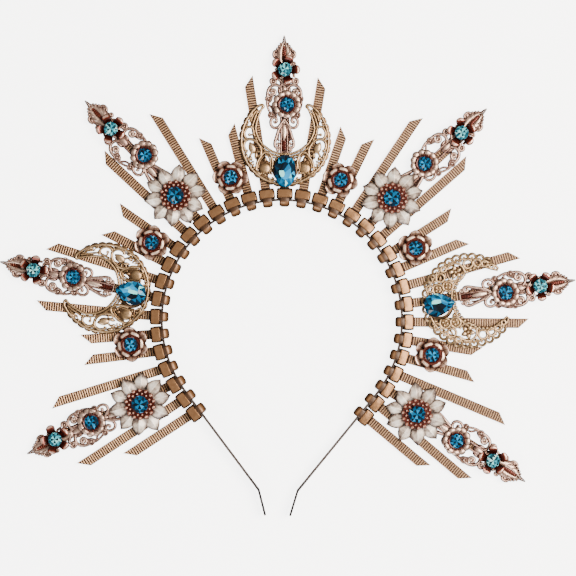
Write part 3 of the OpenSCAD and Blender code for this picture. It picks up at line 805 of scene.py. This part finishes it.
def make_stones():
    blue, aqua, pears, oval = (
        Form(glass) for glass in (BLUE_GLASS, AQUA_GLASS, BLUE_GLASS, BLUE_GLASS))
    places = [(DAISY_STONE, at_tail(tie, out, aside, DAISY_Z + DAISY_STONE_Z))
              for _, tie, out, aside, _ in DAISIES]
    places += [(ROSE_STONE, at_rose(rose, PLATE_Z + ROSE_STONE_Z)) for rose in ROSES]
    places += [(ROSETTE_STONE, at_tail(spire[1], *spire[6:], PLATE_TOP + ROSETTE_STONE_Z))
               for spire in SPIRES]
    for seed, (d, place) in enumerate(places, 11):
        blue.add(*small_stone(d, seed), place=place)
    for seed, spire in enumerate(SPIRES, 61):
        place = at_tail(spire[1], *spire[4:6], PLATE_TOP + TIP_STONE_Z)
        aqua.add(*small_stone(TIP_STONE, seed), place=place)
    z = PLATE_Z + CRESCENT_T + CRYSTAL_Z
    for seed, (pear, window) in enumerate(zip(PEARS, PEAR_WINDOWS), 70):
        pears.add(*crystal(pear_edge, seed, window), place=at_tail(*pear, z))
    oval.add(*crystal(oval_edge, 80, OVAL_WINDOW), place=at_tail(*OVAL, z))
    piece("round_blue_stones", blue, "blue_stones", 0)
    piece("round_aqua_stones", aqua, "aqua_stones", 0)
    piece("pear_cut_crystals", pears, "pear_crystals", 0)
    piece("oval_cut_crystal", oval, "oval_crystal", 0)


# --- Flowers ---
def bezel(r, wall, base, top):
    """A rubbed-over setting: a ring whose lip leans in over the stone's edge."""
    return lathe([(r, base), (r + wall, base), (r + wall, top - 0.5), (r + wall * 0.55, top),
                  (r - 0.05, top - 0.15)], closed=True)


def daisy_form():
    """Ten creased petals in two layers over a calyx, then copper stamens: two rings of beads,
    the inner on stalks, and the stone's setting."""
    # The row tones paint shade at each petal's base by the beads and at its tip, and light across
    # its middle.
    lower = [(x * DAISY_R, w * DAISY_R, middle, edge, tone) for x, w, middle, edge, tone in (
        (0.36, 0.13, 1.2, 0.9, 0.05), (0.5, 0.2, 1.7, 0.9, 0.4), (0.6, 0.232, 2.1, 0.85, 0.8),
        (0.7, 0.24, 2.2, 0.8, 0.95), (0.81, 0.198, 2.0, 0.8, 0.75), (0.9, 0.128, 1.6, 0.8, 0.38),
        (0.955, 0.055, 1.3, 0.8, 0.15), (1.0, 0.006, 0.95, 0.8, 0.0))]
    upper = [(x, w, middle + 0.75, edge + 0.55, tone) for x, w, middle, edge, tone in lower]
    form = Form(ENAMEL)
    form.add(lathe([(0, 0.0), (8.2, 0.0), (8.2, 1.1), (6.6, 2.0), (0, 2.1)], 28), 0.25)
    for rows, first, seed in ((lower, 0.0, 3), (upper, 2 * math.pi / DAISY_PETALS, 5)):
        form.join(ring_of(
            petal(ENAMEL, rows, gleam=0.2, border=0.35, shade=0.36), DAISY_PETALS // 2,
            First_Angle=first, Turn_Chance=0.05, Size_Chance=0.02, Tip_Chance=0.05, Seed=seed))
    form.add(lathe([(0, 1.9), (7.4, 1.9), (7.2, 2.7), (0, 2.7)], 28), 0.18, COPPER)
    outer = Form(COPPER).add(bead(0, 0, 0, 1.0, 10), 0.78, low=0.12)
    inner = Form(COPPER).add(wire([(-1.6, 0), (0.2, 0)], [0.4, 0.5], 6, 0.1), 0.45)
    inner.add(bead(0, 0, 0.3, 0.62), 0.85, low=0.1)
    form.join(ring_of(outer, DAISY_BEADS, Radius=6.95, Height=3.0, Size_Chance=0.12, Seed=8))
    form.join(ring_of(inner, DAISY_BEADS, Radius=5.35, Height=3.6, Size_Chance=0.12, Seed=9,
                      First_Angle=math.pi / DAISY_BEADS))
    return form.add(bezel(DAISY_STONE / 2 - 0.1, 0.4, 2.0, 4.0), 0.3, COPPER)


def rose_form():
    """A rose: a shallow outer layer of round petals, and a steep inner cup with rolled rims."""
    # The row tones paint shade at the petals' bases and tips and on the inner cup's outer flank,
    # and highlights on the outer petals' crowns and the rolled rims.
    outer = petal(PETAL_GOLD, (
        (1.2, 0.9, 0.7, 0.6, 0.05), (3.2, 2.2, 0.8, 0.9, 0.1), (5.0, 3.1, 1.1, 1.5, 0.2),
        (6.2, 3.5, 1.6, 2.2, 0.3), (6.9, 3.5, 2.1, 2.6, 0.65), (7.7, 3.2, 2.6, 2.9, 0.75),
        (8.3, 2.6, 2.95, 3.0, 0.85), (8.7, 1.9, 2.95, 2.8, 0.6), (9.0, 1.0, 2.8, 2.5, 0.1),
        (9.1, 0.4, 2.6, 2.3, 0.05)), bulge=2, gleam=-0.25)
    inner = petal(PETAL_GOLD, (
        (3.2, 1.3, 1.4, 1.5, 0.1), (4.0, 1.8, 2.4, 2.5, 0.2), (4.5, 2.1, 3.8, 3.9, 0.25),
        (4.8, 2.4, 4.7, 4.7, 0.3), (5.0, 2.5, 5.0, 4.9, 0.95), (5.5, 2.6, 5.05, 4.8, 1.0),
        (6.1, 2.6, 4.9, 4.5, 0.9), (6.4, 2.4, 4.5, 4.1, 0.35), (6.8, 1.9, 3.9, 3.6, 0.15)),
        bulge=2)
    claw = Form(COPPER).add(bead(0, 0, 0, 0.36), 0.45, low=0.1)
    form = Form(PETAL_GOLD)
    form.add(lathe([(0, 0.0), (3.4, 0.0), (3.4, 1.3), (2.6, 2.4), (0, 2.4)], 20), 0.1)
    form.join(ring_of(outer, ROSE_PETALS, Turn_Chance=0.06, Size_Chance=0.01, Tip_Chance=0.05,
                      Seed=2))
    form.join(ring_of(inner, ROSE_PETALS, Turn_Chance=0.06, Tip_Chance=0.02, Seed=4,
                      First_Angle=math.pi / ROSE_PETALS))
    form.add(bezel(ROSE_STONE / 2 - 0.2, 0.6, 1.6, 4.6), 0.1, COPPER)
    form.add(lathe([(3.9, 2.4), (5.0, 2.4), (5.0, 4.1), (3.9, 4.1)], closed=True), 0.2, COPPER)
    return form.join(ring_of(claw, 12, Radius=4.55, Height=4.2, Size_Chance=0.2, Seed=12))


def rosette_form():
    """A small flower of twelve cupped petals round a dark copper cup with fine claws."""
    # The row tones paint shade at the petals' bases and tips and light across their middles.
    cupped = petal(ROSE_GOLD, (
        (3.4, 0.8, 1.0, 1.0, 0.1), (4.4, 1.35, 1.5, 1.3, 0.4), (5.1, 1.75, 1.85, 1.5, 0.75),
        (6.0, 2.0, 1.95, 1.6, 0.85), (6.7, 1.8, 1.8, 1.5, 0.8), (7.15, 1.3, 1.5, 1.3, 0.55),
        (7.45, 0.6, 1.2, 1.0, 0.15)), 0.5, bulge=2, border=0.5)
    claw = Form(COPPER).add(bead(0, 0, 0, 0.4), 0.35, low=0.05)
    form = Form(ROSE_GOLD)
    form.add(lathe([(0, 0.0), (5.2, 0.0), (5.2, 0.9), (4.6, 1.2), (0, 1.2)]), 0.1)
    form.join(ring_of(cupped, ROSETTE_PETALS, Turn_Chance=0.05, Size_Chance=0.03,
                      Tip_Chance=0.08, Seed=6))
    form.add(bezel(ROSETTE_STONE / 2, 0.8, 0.8, 2.9), 0.08, COPPER)
    return form.join(ring_of(claw, 14, Radius=4.25, Height=2.6, Size_Chance=0.2, Seed=13))


def tip_flower_form():
    """Five petals that stand up round the stone, painted in shade inside, with a painted highlight
    on the bright lip that turns out.
    """
    upright = petal(COPPER, (
        (1.4, 0.8, 0.6, 0.7, 0.06), (3.0, 1.5, 0.9, 1.2, 0.06), (4.2, 1.9, 1.9, 2.2, 0.08),
        (5.2, 2.2, 2.8, 2.9, 0.12), (5.8, 2.3, 3.15, 3.1, 0.35), (6.2, 2.3, 3.3, 3.15, 0.85),
        (6.8, 2.1, 3.3, 3.0, 0.95), (7.3, 1.5, 3.1, 2.8, 0.7), (7.6, 0.7, 2.7, 2.5, 0.2)),
        0.45, bulge=2)
    form = Form(ROSE_GOLD).add(lathe([(0, 0.0), (1.9, 0.0), (1.9, 1.5), (0, 1.6)], 16), 0.1)
    form.join(ring_of(upright, 5, First_Angle=math.radians(-20), Turn_Chance=0.03,
                      Tip_Chance=0.05, Seed=7))
    return form.add(bezel(TIP_STONE / 2 - 0.35, 0.5, 1.2, 3.25), 0.12, COPPER)


def make_flowers():
    daisy, rose = daisy_form(), rose_form()
    for name, tie, out, aside, first in DAISIES:
        centre = at_tail(tie, out, aside, DAISY_Z)
        form = Form().join(daisy, moved(*centre.translation) @ turned(first))
        piece("enamelled_" + name, form, name, 18)
    for row in ROSES:
        form = Form().join(rose, at_rose(row, PLATE_Z))
        piece("copper_" + row[0], form, row[0], 35)


# --- Filigree ---
RIM_Z = CRESCENT_T / 2
SCROLL_Z = RIM_Z + 0.1


def curl(form, x, y, r, start, end, w=0.5, z=SCROLL_Z, tone=0.75):
    """A scroll that winds in to a small ball."""
    path = arc(x, y, r, start, end, 20, r * 0.3)
    form.add(wire(path, taper(len(path), w * 1.2, 1, 0.75), z=z), tone)
    form.add(bead(*path[-1], z + 0.15, w * 1.35), tone + 0.15)


def strokes(form, *rows):
    """Smooth wires. Rows: tone, radius, height, then the points."""
    for tone, r, z, *points in rows:
        form.add(wire(smooth(points), r, z=z), tone)


def rims(form, *rows):
    """Wires along a rim. Rows: tone, thickness, then the arc's centre, radius, start and end, and
    the points that lead to it."""
    for tone, w, x, r, start, end, *points in rows:
        path = (smooth(points) if points else []) + arc(x, 0, r, start, end, 6)
        form.add(wire(path, w, z=RIM_Z), tone)


def leaves(form, *rows):
    """Small pointed leaves. Rows: both ends and width."""
    for a, b, wide in rows:
        form.add(dome(leaf_outline(a, b, wide), SCROLL_Z, 0.9, 0.1), 0.85)


def star(form, x, y, angles, inner, outer, width, height, tone):
    """Leaves that point out from one place."""
    for a in angles:
        c, d = math.cos(a), math.sin(a)
        leaf = leaf_outline((x + inner * c, y + inner * d), (x + outer * c, y + outer * d), width)
        form.add(dome(leaf, SCROLL_Z, height, 0.1), tone)


def spire_half():
    form = Form(ROSE_GOLD)
    # The lower leaf's arched outer wire and the scroll beside the knot, which end in curls.
    for tone, r, end, *points in (
        (0.77, 0.9, (4.2, 3.4, 0.8, 0.65), (13.9, 1.2), (11.8, 2.6), (7.4, 4.0), (4.9, 4.7),
         (3.1, 4.5), (2.4, 3.3), (3.2, 2.4), (4.4, 2.7), (4.4, 3.5)),
        (0.72, 0.84, (15.4, 5.0, 0.8, 0.7), (12.8, 2.8), (12.3, 4.8), (13.4, 6.4), (15.6, 6.8),
         (17.3, 5.8), (17.4, 4.4), (16.0, 3.7), (15.0, 4.4), (15.3, 5.2)),
    ):
        path = smooth(points)
        form.add(wire(path, taper(len(path), r, 1, 0.8), z=0.6), tone)
        form.add(bead(*end), 0.81)
    # A vein in the lower leaf, and the rails beside the slit and the neck.
    form.add(wire(smooth([(13.2, 1.7), (10.5, 2.6), (6.8, 3.0), (5.6, 2.6)]), 0.55, 6, 0.4), 0.47)
    form.add(wire([(0, 1.55), (7, 1.6), (13.6, 1.5)], 0.58), 0.51)
    form.add(wire([(16, 1.5), (25, 1.55), (36, 1.5)], 0.6), 0.55)
    curl(form, 1.7, 2.9, 1.0, 200, -100, 0.55, 0.6)
    strokes(
        form,
        # The knot's wing, and the wire from the scroll to the rosette.
        (0.81, 0.9, 0.9, (16.2, 0.2), (14.4, 1.6), (12.4, 3.1)),
        (0.51, 0.72, 0.5, (17.2, 4.2), (18.6, 4.0), (20.6, 4.6)),
        # Thin wires round the rosette.
        (0.68, 0.68, 0.5, (19.8, 7.0), (22.0, 8.0), (24.2, 8.6), (26.0, 8.6)),
        (0.51, 0.62, 0.5, (20.0, 5.6), (22.0, 6.0), (23.4, 7.2), (24.2, 8.4)),
        (0.51, 0.62, 0.5, (24.6, 8.2), (25.8, 6.8), (27.4, 6.2), (29.0, 5.6)),
        # The upper arc.
        (0.77, 0.92, 0.5, (27.6, 8.4), (30.2, 8.3), (32.4, 7.3), (33.7, 5.4), (33.6, 3.2),
         (32.4, 1.4)),
        # The neck: a ring at the end of an S, and a small wire inside it.
        (0.77, 0.84, 0.6, (37.0, 5.0), (36.4, 6.6), (35.0, 6.6), (34.3, 5.4), (35.2, 4.3),
         (36.4, 4.4), (36.8, 3.2), (35.6, 1.6), (34.4, 0.2)),
        (0.59, 0.68, 0.5, (34.2, 4.6), (33.4, 3.4), (33.6, 1.8), (34.6, 0.6)),
        # The curl on the tip leaf's edge.
        (0.77, 0.75, 0.7, (51.0, 3.6), (50.5, 4.9), (49.2, 5.4), (47.9, 5.1), (47.4, 4.3)),
    )
    # Ringed beads beside the rosette, with a dark disc in each ring that is partly patina and
    # partly painted shade.
    for x, y, r in ((18.7, 6.5, 1.3), (26.9, 7.9, 1.35)):
        form.add(dome(round_outline(x, y, r, 14), 0.6, 0.1, 0.1), 0.17)
        form.add(bead(x, y, 0.9, r * 0.6), 0.85)
        form.add(wire(arc(x, y, r, 0, 336, 24), 0.62, 6, 0.8, closed=True), 0.77)
    # The spiral and the leaf inside the upper arc, and the neck's bead.
    curl(form, 30.4, 5.8, 1.8, 120, 520, 0.75, 0.6, 0.85)
    form.add(dome(leaf_outline((28.4, 2.2), (33.4, 2.9), 1.8), 0.3, 0.8, 0), 0.59)
    form.add(bead(35.6, 5.4, 0.7, 0.7), 0.85)
    # Curls and beads on the tip leaf's edge.
    form.add(wire(bow((37.6, 4.8), (40.8, 3.5), 0.48, 6), 0.75), 0.68)
    curl(form, 44.4, 4.6, 1.1, 200, -120, 0.55, 0.6)
    form.add(dome(round_outline(49.0, 4.4, 1.25), 0.5, 0.5, 0.1), 0.6)
    for x, y, r in ((41.6, 3.9, 0.95), (51.9, 3.4, 0.85), (53.2, 2.6, 0.8), (54.4, 1.8, 0.65)):
        form.add(bead(x, y, 0.8, r), 0.72)
    return form


def tip_leaf():
    """Half of the tip leaf: from its edge up to a ridge and down into the slit."""
    edge = ((35.4, 1.7), (38, 2.7), (41, 3.6), (44, 4.3), (46.6, 4.7), (49, 4.6), (51, 3.7),
            (53, 2.6), (54.6, 1.5), (55.6, 1.0), (57, 0.75), (SPIRE_L, 0.35))
    slit, slit_end = 44.5, 54
    # Share of the way from the edge to the slit, height and level: a painted highlight on the
    # ridge and painted shade down to the edge and into the slit.
    across = ((0, 0.05, 0), (0, 0.55, 0.1), (0.3, 1.045, 0.8), (0.65, 1.45, 1), (0.9, 1.27, 0.8),
              (1, 0.73, 0.1), (1, 0.05, 0))
    columns = []
    for x, y in edge:
        inner = 0.02
        if slit <= x <= slit_end:
            inner += 0.75 * math.sin(math.pi * (x - slit) / (slit_end - slit)) ** 0.5
        columns.append([(x, y + (inner - y) * share, z) for share, z, _ in across])
    return *loft(columns), [level for _, _, level in across] * len(edge)


def spire_plate():
    form = spire_half().add(tip_leaf(), 0.85)
    for a, b in (((37, 1.5), (40, 3.2)), ((40, 1.5), (43.6, 3.8)), ((43, 1.7), (46.6, 4.0)),
                 ((46, 1.9), (49.6, 3.6)), ((49.0, 1.9), (52.2, 2.8)), ((52, 1.5), (54.6, 1.8))):
        form.add(wire(bow(a, b, 0.3, 5), taper(6, 0.4), 6, 1.3), 0.9)
    form.mirrored()
    # The foot, the ribbed copper in the lower slit, the tongue over it, and the knots.
    form.add(wire([(0.3, -2.3), (0.3, 2.3)], 0.5), 0.7)
    form.add(dome(leaf_outline((-0.4, 0), (8.6, 0), 2.6), 0.0, 0.25, -0.1), 0.16, COPPER)
    for k in range(5):
        x = 1.4 + 1.2 * k
        form.add(wire([(x, -0.95), (x, 0.95)], 0.26, 6, 0.2), 0.26, COPPER)
    form.add(dome(leaf_outline((5.6, 0), (15.4, 0), 3.0, 9, 0.5), 0.45, 0.6, 0), 1.0, low=0.5)
    form.add(dome(leaf_outline((13.4, 0), (18.2, 0), 2.2), 0.6, 0.9, 0), 0.85)
    form.add(dome(round_outline(35.4, 0, 2.5, 16), 0.5, 0.9, 0), 0.8)
    form.add(dome(leaf_outline((27, 0), (35, 0), 3.8), 0.4, 0.9, 0), 0.75)
    # The ribbed strip that shows in the tip leaf's slit, with a small stud at its end.
    form.add(dome(leaf_outline((43.8, 0), (54.8, 0), 2.2), 0.3, 0.3, 0.0), 0.2, COPPER)
    for k in range(8):
        form.add(wire([(45.6 + k, -0.8), (45.6 + k, 0.8)], 0.27, 6, 0.55), 0.55, COPPER)
    return form.add(bead(53.4, 0, 0.7, 0.55), 0.9)


def make_spires():
    plate, rosette, flower = spire_plate(), rosette_form(), tip_flower_form()
    for name, tie, tip, aside, flower_x, flower_y, rosette_x, rosette_y in SPIRES:
        form = Form().join(plate, at_tail(tie, tip - SPIRE_L, aside, PLATE_Z))
        form.join(rosette, at_tail(tie, rosette_x, rosette_y, PLATE_TOP))
        form.join(flower, at_tail(tie, flower_x, flower_y, PLATE_TOP))
        piece("filigree_" + name, form, name, 50)


def along(part, count, r, degrees, z=0.0):
    """Copies along an arc, the middle one opposite the horns."""
    step = math.radians(degrees)
    return ring_of(part, count, Radius=r, Step=step, Height=z,
                   First_Angle=math.pi - count // 2 * step)


def crescent_seat(form):
    """The setting under the crystal, and the bar that ties it to the bite's edge."""
    seat = lathe([(4.7, 0), (6.5, 0), (6.5, 1.1), (6.0, 1.6), (4.8, 1.6)], 28, True)
    form.add(seat, 0.2, place=moved(-14.4))
    return form.add(wire([(-9.4, 0), (BITE_X - BITE_R, 0)], 0.7, z=RIM_Z), 0.7)


def scroll_crescent():
    """A smooth double rim, and on each arm two C scrolls and an arch round a button."""
    form = Form(PALE_GOLD)
    # The rim turns round at the horn and comes back as the bite's edge.
    rims(
        form,
        (0.95, 0.78, 0, 21.8, 56, 180, (16.2, 11.6), (17.2, 10.7), (17.9, 11.6), (17.2, 13.6),
         (14.8, 16.2)),
        (0.6, 0.49, 0, 20.55, 62, 178),
        (0.9, 0.67, BITE_X, 14.9, 98, 180, (16.4, 11.4), (14.4, 12.4), (11.2, 13.6), (8.4, 14.4)),
        (0.8, 0.63, BITE_X, 16.2, 90, 176, (15.6, 13.2), (13.0, 14.4), (10.4, 15.3)),
        (0.6, 0.49, BITE_X, 17.35, 140, 168),
    )
    # The horn's filling.
    form.add(wire(bow((9.2, 17.0), (15.4, 13.9), 0.61), taper(9, 0.56), z=SCROLL_Z), 0.75)
    form.add(dome(leaf_outline((10.4, 18.2), (14.6, 15.6), 1.5), SCROLL_Z, 0.7, 0.1), 0.85)
    curl(form, 10.6, 17.4, 0.95, 150, 420, 0.4)
    strokes(
        form,
        # The scroll next to the horn.
        (0.9, 0.76, SCROLL_Z, (6.7, 15.4), (6.9, 18.4), (4.8, 20.1), (2.5, 20.2), (1.0, 19.1),
         (0.6, 17.6)),
        (0.75, 0.51, SCROLL_Z, (6.6, 16.4), (4.8, 15.5), (3.2, 16.1), (2.9, 17.5)),
        # The large scroll.
        (0.9, 0.83, SCROLL_Z, (-5.2, 18.5), (-4.8, 19.8), (-2.5, 20.6), (-0.2, 19.8), (0.8, 17.9),
         (0.2, 15.3), (-1.7, 13.3), (-4.6, 11.9), (-7.6, 12.2)),
        (0.8, 0.59, SCROLL_Z, (-5.8, 16.4), (-7.4, 17.4), (-9.6, 18.2)),
        # The double arch round the button, and the wire under it.
        (0.95, 0.76, RIM_Z + 0.2, (-14.6, 14.4), (-11.0, 13.9), (-8.9, 12.7), (-6.4, 10.9),
         (-5.6, 9.0), (-7.3, 7.1), (-10.7, 6.2), (-14.0, 6.4)),
        (0.6, 0.46, SCROLL_Z, (-13.6, 13.4), (-10.6, 12.7), (-8.2, 11.1), (-7.2, 9.3),
         (-8.4, 8.0), (-11.0, 7.2)),
        (0.6, 0.5, SCROLL_Z, (-9.4, 7.2), (-13.2, 7.4), (-17.0, 6.6)),
    )
    form.add(bead(3.0, 17.8, SCROLL_Z + 0.2, 0.85), 0.9)
    # The drop-shaped leaf on a stem inside the large scroll, and the ring beside it.
    form.add(dome(leaf_outline((-6.6, 15.3), (-0.4, 17.7), 3.7), SCROLL_Z, 0.7, 0.1), 1.0, low=0.6)
    form.add(wire(bow((-5.6, 14.4), (-1.0, 16.2), -0.6), taper(9, 0.41), 6, SCROLL_Z), 0.3)
    form.add(wire(arc(-6.4, 13.2, 1.2, 0, 340, 20), 0.55, z=SCROLL_Z, closed=True), 0.85)
    # The button, the dark bowl behind it, a painted shadow along the button's edge, and the leaves
    # over and under it.
    form.add(dome(round_outline(-12.4, 10.2, 3.1, 18), RIM_Z - 0.1, 0.1, 0.1), 0.4, low=0.25)
    form.add(dome(round_outline(-13.9, 10.0, 2.9, 18), SCROLL_Z, 0.6, 0.1), 0.75, low=0.5)
    form.add(dome(leaf_outline((-11.0, 10.0), (-7.8, 9.7), 2.0), SCROLL_Z, 0.6, 0.1), 0.5)
    form.add(dome(leaf_outline((-8.8, 6.0), (-17.6, 5.6), 2.4), RIM_Z - 0.1, 0.5, 0.1), 0.75)
    for x, y in ((-16.2, 11.8), (-17.0, 9.8), (-16.2, 7.8)):
        form.add(bead(x, y, SCROLL_Z + 0.1, 0.8), 0.8)
    curl(form, -11.6, 16.0, 1.2, -30, 240, 0.42)
    curl(form, -19.0, 6.4, 1.5, 60, 330)
    leaves(
        form, ((8.0, 17.4), (5.6, 16.2), 1.4), ((7.4, 19.4), (9.8, 18.4), 1.2),
        ((-10.2, 16.6), (-7.0, 17.9), 1.8), ((-9.4, 14.6), (-4.8, 14.2), 1.8),
        ((-9.8, 19.0), (-5.8, 19.4), 1.7), ((0.6, 13.6), (2.4, 15.8), 1.5),
        ((-0.8, 20.0), (2.0, 20.4), 1.2), ((-17.6, 11.4), (-14.2, 15.4), 1.5),
        ((-8.0, 3.4), (-10.6, 5.2), 1.8), ((-14.6, 16.0), (-12.6, 14.8), 1.2),
    )
    form.mirrored()
    scallop = Form(PALE_GOLD)
    scallop.add(dome(round_outline(0, 0, 2.1, 14, 0.6), RIM_Z - 0.2, 0.3, 0.1), 0.6)
    grain = Form(PALE_GOLD).add(bead(0, 0, 0, 0.42), 0.95, low=0.1)
    form.join(along(scallop, 27, 22.0, 9.8))
    form.join(along(grain, 27, BITE_R - 0.45, 3.4, RIM_Z), moved(BITE_X))
    return crescent_seat(form)


def lace_crescent():
    """A rim of small arches, a beaded bite, and on each arm two eyes, a flower in an arch and
    rings that shrink towards the horn."""
    form = Form(PALE_GOLD)
    rims(
        form,
        (0.9, 0.66, 0, 20.2, 54, 180, (17.2, 12.0), (15.8, 14.2), (13.2, 16.2)),
        (0.6, 0.45, 0, 18.9, 100, 178),
        (0.85, 0.6, BITE_X, 16.2, 88, 178, (16.8, 11.4), (13.6, 13.0), (10.0, 14.8)),
    )
    # The eyes: a shallow bowl with four small leaves, in a ring.
    for x, y, r in ((-13.6, 8.3, 2.2), (-8.5, 9.0, 2.1)):
        form.add(dome(round_outline(x, y, r, 16), RIM_Z - 0.1, 0.1, 0.1), 0.6, low=0.4)
        form.add(wire(arc(x, y, r + 0.35, 0, 342, 18), 0.7, z=SCROLL_Z, closed=True), 0.95)
        star(form, x, y, (0.5, 2.07, 3.64, 5.21), 0.2, r, 1.3, 0.5, 0.95)
    # The flower in its arch.
    form.add(wire(arc(-3.6, 14.8, 4.3, -150, 150, 12), 0.72, z=SCROLL_Z), 1.0)
    star(form, -3.6, 14.8, circle(5, math.radians(20)), 0.4, 3.8, 2.6, 0.8, 1.0)
    form.add(bead(-3.6, 14.8, SCROLL_Z + 0.6, 0.9), 1.0)
    for x, y, r in ((3.2, 17.5, 2.2), (7.6, 17.1, 1.8), (11.2, 15.9, 1.4), (14.2, 13.9, 1.1),
                    (-11.4, 13.6, 2.1), (-17.6, 9.4, 1.7), (-9.0, 17.4, 1.3)):
        form.add(wire(arc(x, y, r, 0, 340, 20), 0.74, z=SCROLL_Z, closed=True), 0.95)
    leaves(
        form, ((5.4, 15.4), (5.4, 19.6), 1.7), ((9.5, 14.9), (9.5, 18.2), 1.4),
        ((12.7, 13.4), (12.8, 16.6), 1.2), ((0.4, 12.6), (1.6, 15.6), 1.8),
        ((0.8, 19.2), (-1.8, 19.9), 1.4), ((-15.8, 11.6), (-13.0, 13.2), 1.6),
        ((-7.2, 18.6), (-5.0, 19.8), 1.5), ((-11.0, 6.0), (-11.0, 11.6), 1.7),
        ((-7.6, 4.4), (-9.6, 6.6), 1.8), ((-14.6, 14.6), (-11.6, 16.6), 1.5),
        ((-19.2, 5.6), (-16.6, 7.4), 1.6), ((-12.2, 11.4), (-10.6, 15.6), 1.2),
    )
    form.mirrored()
    loop = Form(PALE_GOLD).add(wire(arc(-0.1, 0, 1.85, -105, 105, 21), 0.8, 6, SCROLL_Z), 0.95)
    loop.add(bead(-0.1, 0, RIM_Z + 0.2, 0.7), 1.0)
    grain = Form(PALE_GOLD).add(bead(0, 0, 0, 1.05), 0.95, low=0.05)
    form.join(along(loop, 25, CRESCENT_R - 1.2, 10.6))
    form.join(along(grain, 27, BITE_R + 0.3, 7.4, RIM_Z), moved(BITE_X))
    return crescent_seat(form)


def make_crescents():
    scrolls, lace = scroll_crescent(), lace_crescent()
    for name, tie, out, aside, turn, size in CRESCENTS:
        place = at_tail(tie, out, aside, PLATE_Z) @ turned(turn) @ Matrix.Scale(size, 4)
        form = Form().join(lace if name == "crescent_right" else scrolls, place)
        piece("pierced_" + name, form, name, 50)


def dress_headband():
    """The headband keeps its own solid. Its tone rises down the legs to the turned ends."""
    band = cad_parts["headband"].data
    band.materials.clear()
    band.materials.append(STEEL)
    tone = band.attributes.new("tone", "FLOAT", "POINT")
    tone.data.foreach_set("value", [min(1, max(0, -0.6 - 20 * v.co.y)) for v in band.vertices])


# --- The floor, lights and camera, in metres ---
FLOOR_SIZE, FLOOR_Z = 3, -0.0002
# Name, place, size, power, aim and tint.
SOFTBOXES = (
    ("key_softbox", (0.7, 0.13, 1.1), (0.84, 0.72), 38, None, "FFF2E4"),
    ("fill_softbox", (-0.35, -0.9, 0.75), (0.5, 0.5), 7, (0, 0.02, 0), "FFFFFF"),
)
CAMERA_AT, CAMERA_ROLL, LENS = (0.0027, 0.01606, 1.203), 1.25, 150


def make_floor():
    """White paper lit from below."""
    paper = bpy.data.materials.new("white_paper_sweep")
    tree = empty_tree(paper)
    body = node(tree, "ShaderNodeBsdfPrincipled", {
        "Base Color": colour("F4F4F4"), "Roughness": 0.9,
        "Emission Color": colour("FFFFFF"), "Emission Strength": 5.0})
    node(tree, "ShaderNodeOutputMaterial", {"Surface": body})
    mesh = bpy.data.meshes.new("floor")
    corners = [(x * FLOOR_SIZE, y * FLOOR_SIZE, FLOOR_Z)
               for x, y in ((-1, -1), (1, -1), (1, 1), (-1, 1))]
    mesh.from_pydata(corners, [], [(0, 1, 2, 3)])
    mesh.materials.append(paper)
    floor = link("floor", mesh)
    # The metal's edges stay dark against the bright paper, as with a black card under the glass.
    floor.visible_glossy = False
    floor.visible_diffuse = False


def make_lights():
    """A soft sky that is bright above the horizon and dark below it, and two softboxes."""
    world = bpy.data.worlds.new("studio")
    bpy.context.scene.world = world
    tree = empty_tree(world)
    way = node(tree, "ShaderNodeTexCoord").outputs["Generated"]
    height = node(tree, "ShaderNodeSeparateXYZ", {0: way}).outputs["Z"]
    up = node(tree, "ShaderNodeMapRange", {"Value": height, "From Min": -1.0})
    sky = node(tree, "ShaderNodeValToRGB", {"Fac": up})
    for point, at, shade in zip(sky.color_ramp.elements, (0.49, 0.53),
                                ((0.02, 0.017, 0.015, 1), (1.0, 0.97, 0.93, 1))):
        point.position, point.color = at, shade
    back = node(tree, "ShaderNodeBackground", {"Color": sky, "Strength": 0.3})
    node(tree, "ShaderNodeOutputWorld", {"Surface": back})
    for name, place, size, power, aim, tint in SOFTBOXES:
        lamp = bpy.data.lights.new(name, "AREA")
        lamp.shape, lamp.size, lamp.size_y, lamp.energy = "RECTANGLE", *size, power
        lamp.color = colour(tint)[:3]
        made = link(name, lamp)
        made.location = place
        if aim:
            way = Vector(aim) - Vector(place)
            made.rotation_euler = way.to_track_quat("-Z", "Y").to_euler()


def make_camera():
    """It looks straight down at the front of the crown."""
    lens = bpy.data.cameras.new("camera")
    lens.lens, lens.sensor_width = LENS, 36
    lens.clip_start, lens.clip_end = 0.01, 20
    camera = link("camera", lens)
    camera.location = CAMERA_AT
    camera.rotation_euler = (0, 0, math.radians(CAMERA_ROLL))
    bpy.context.scene.camera = camera


make_ties()
make_spires()
make_crescents()
make_flowers()
make_stones()
dress_headband()
make_floor()
make_lights()
make_camera()
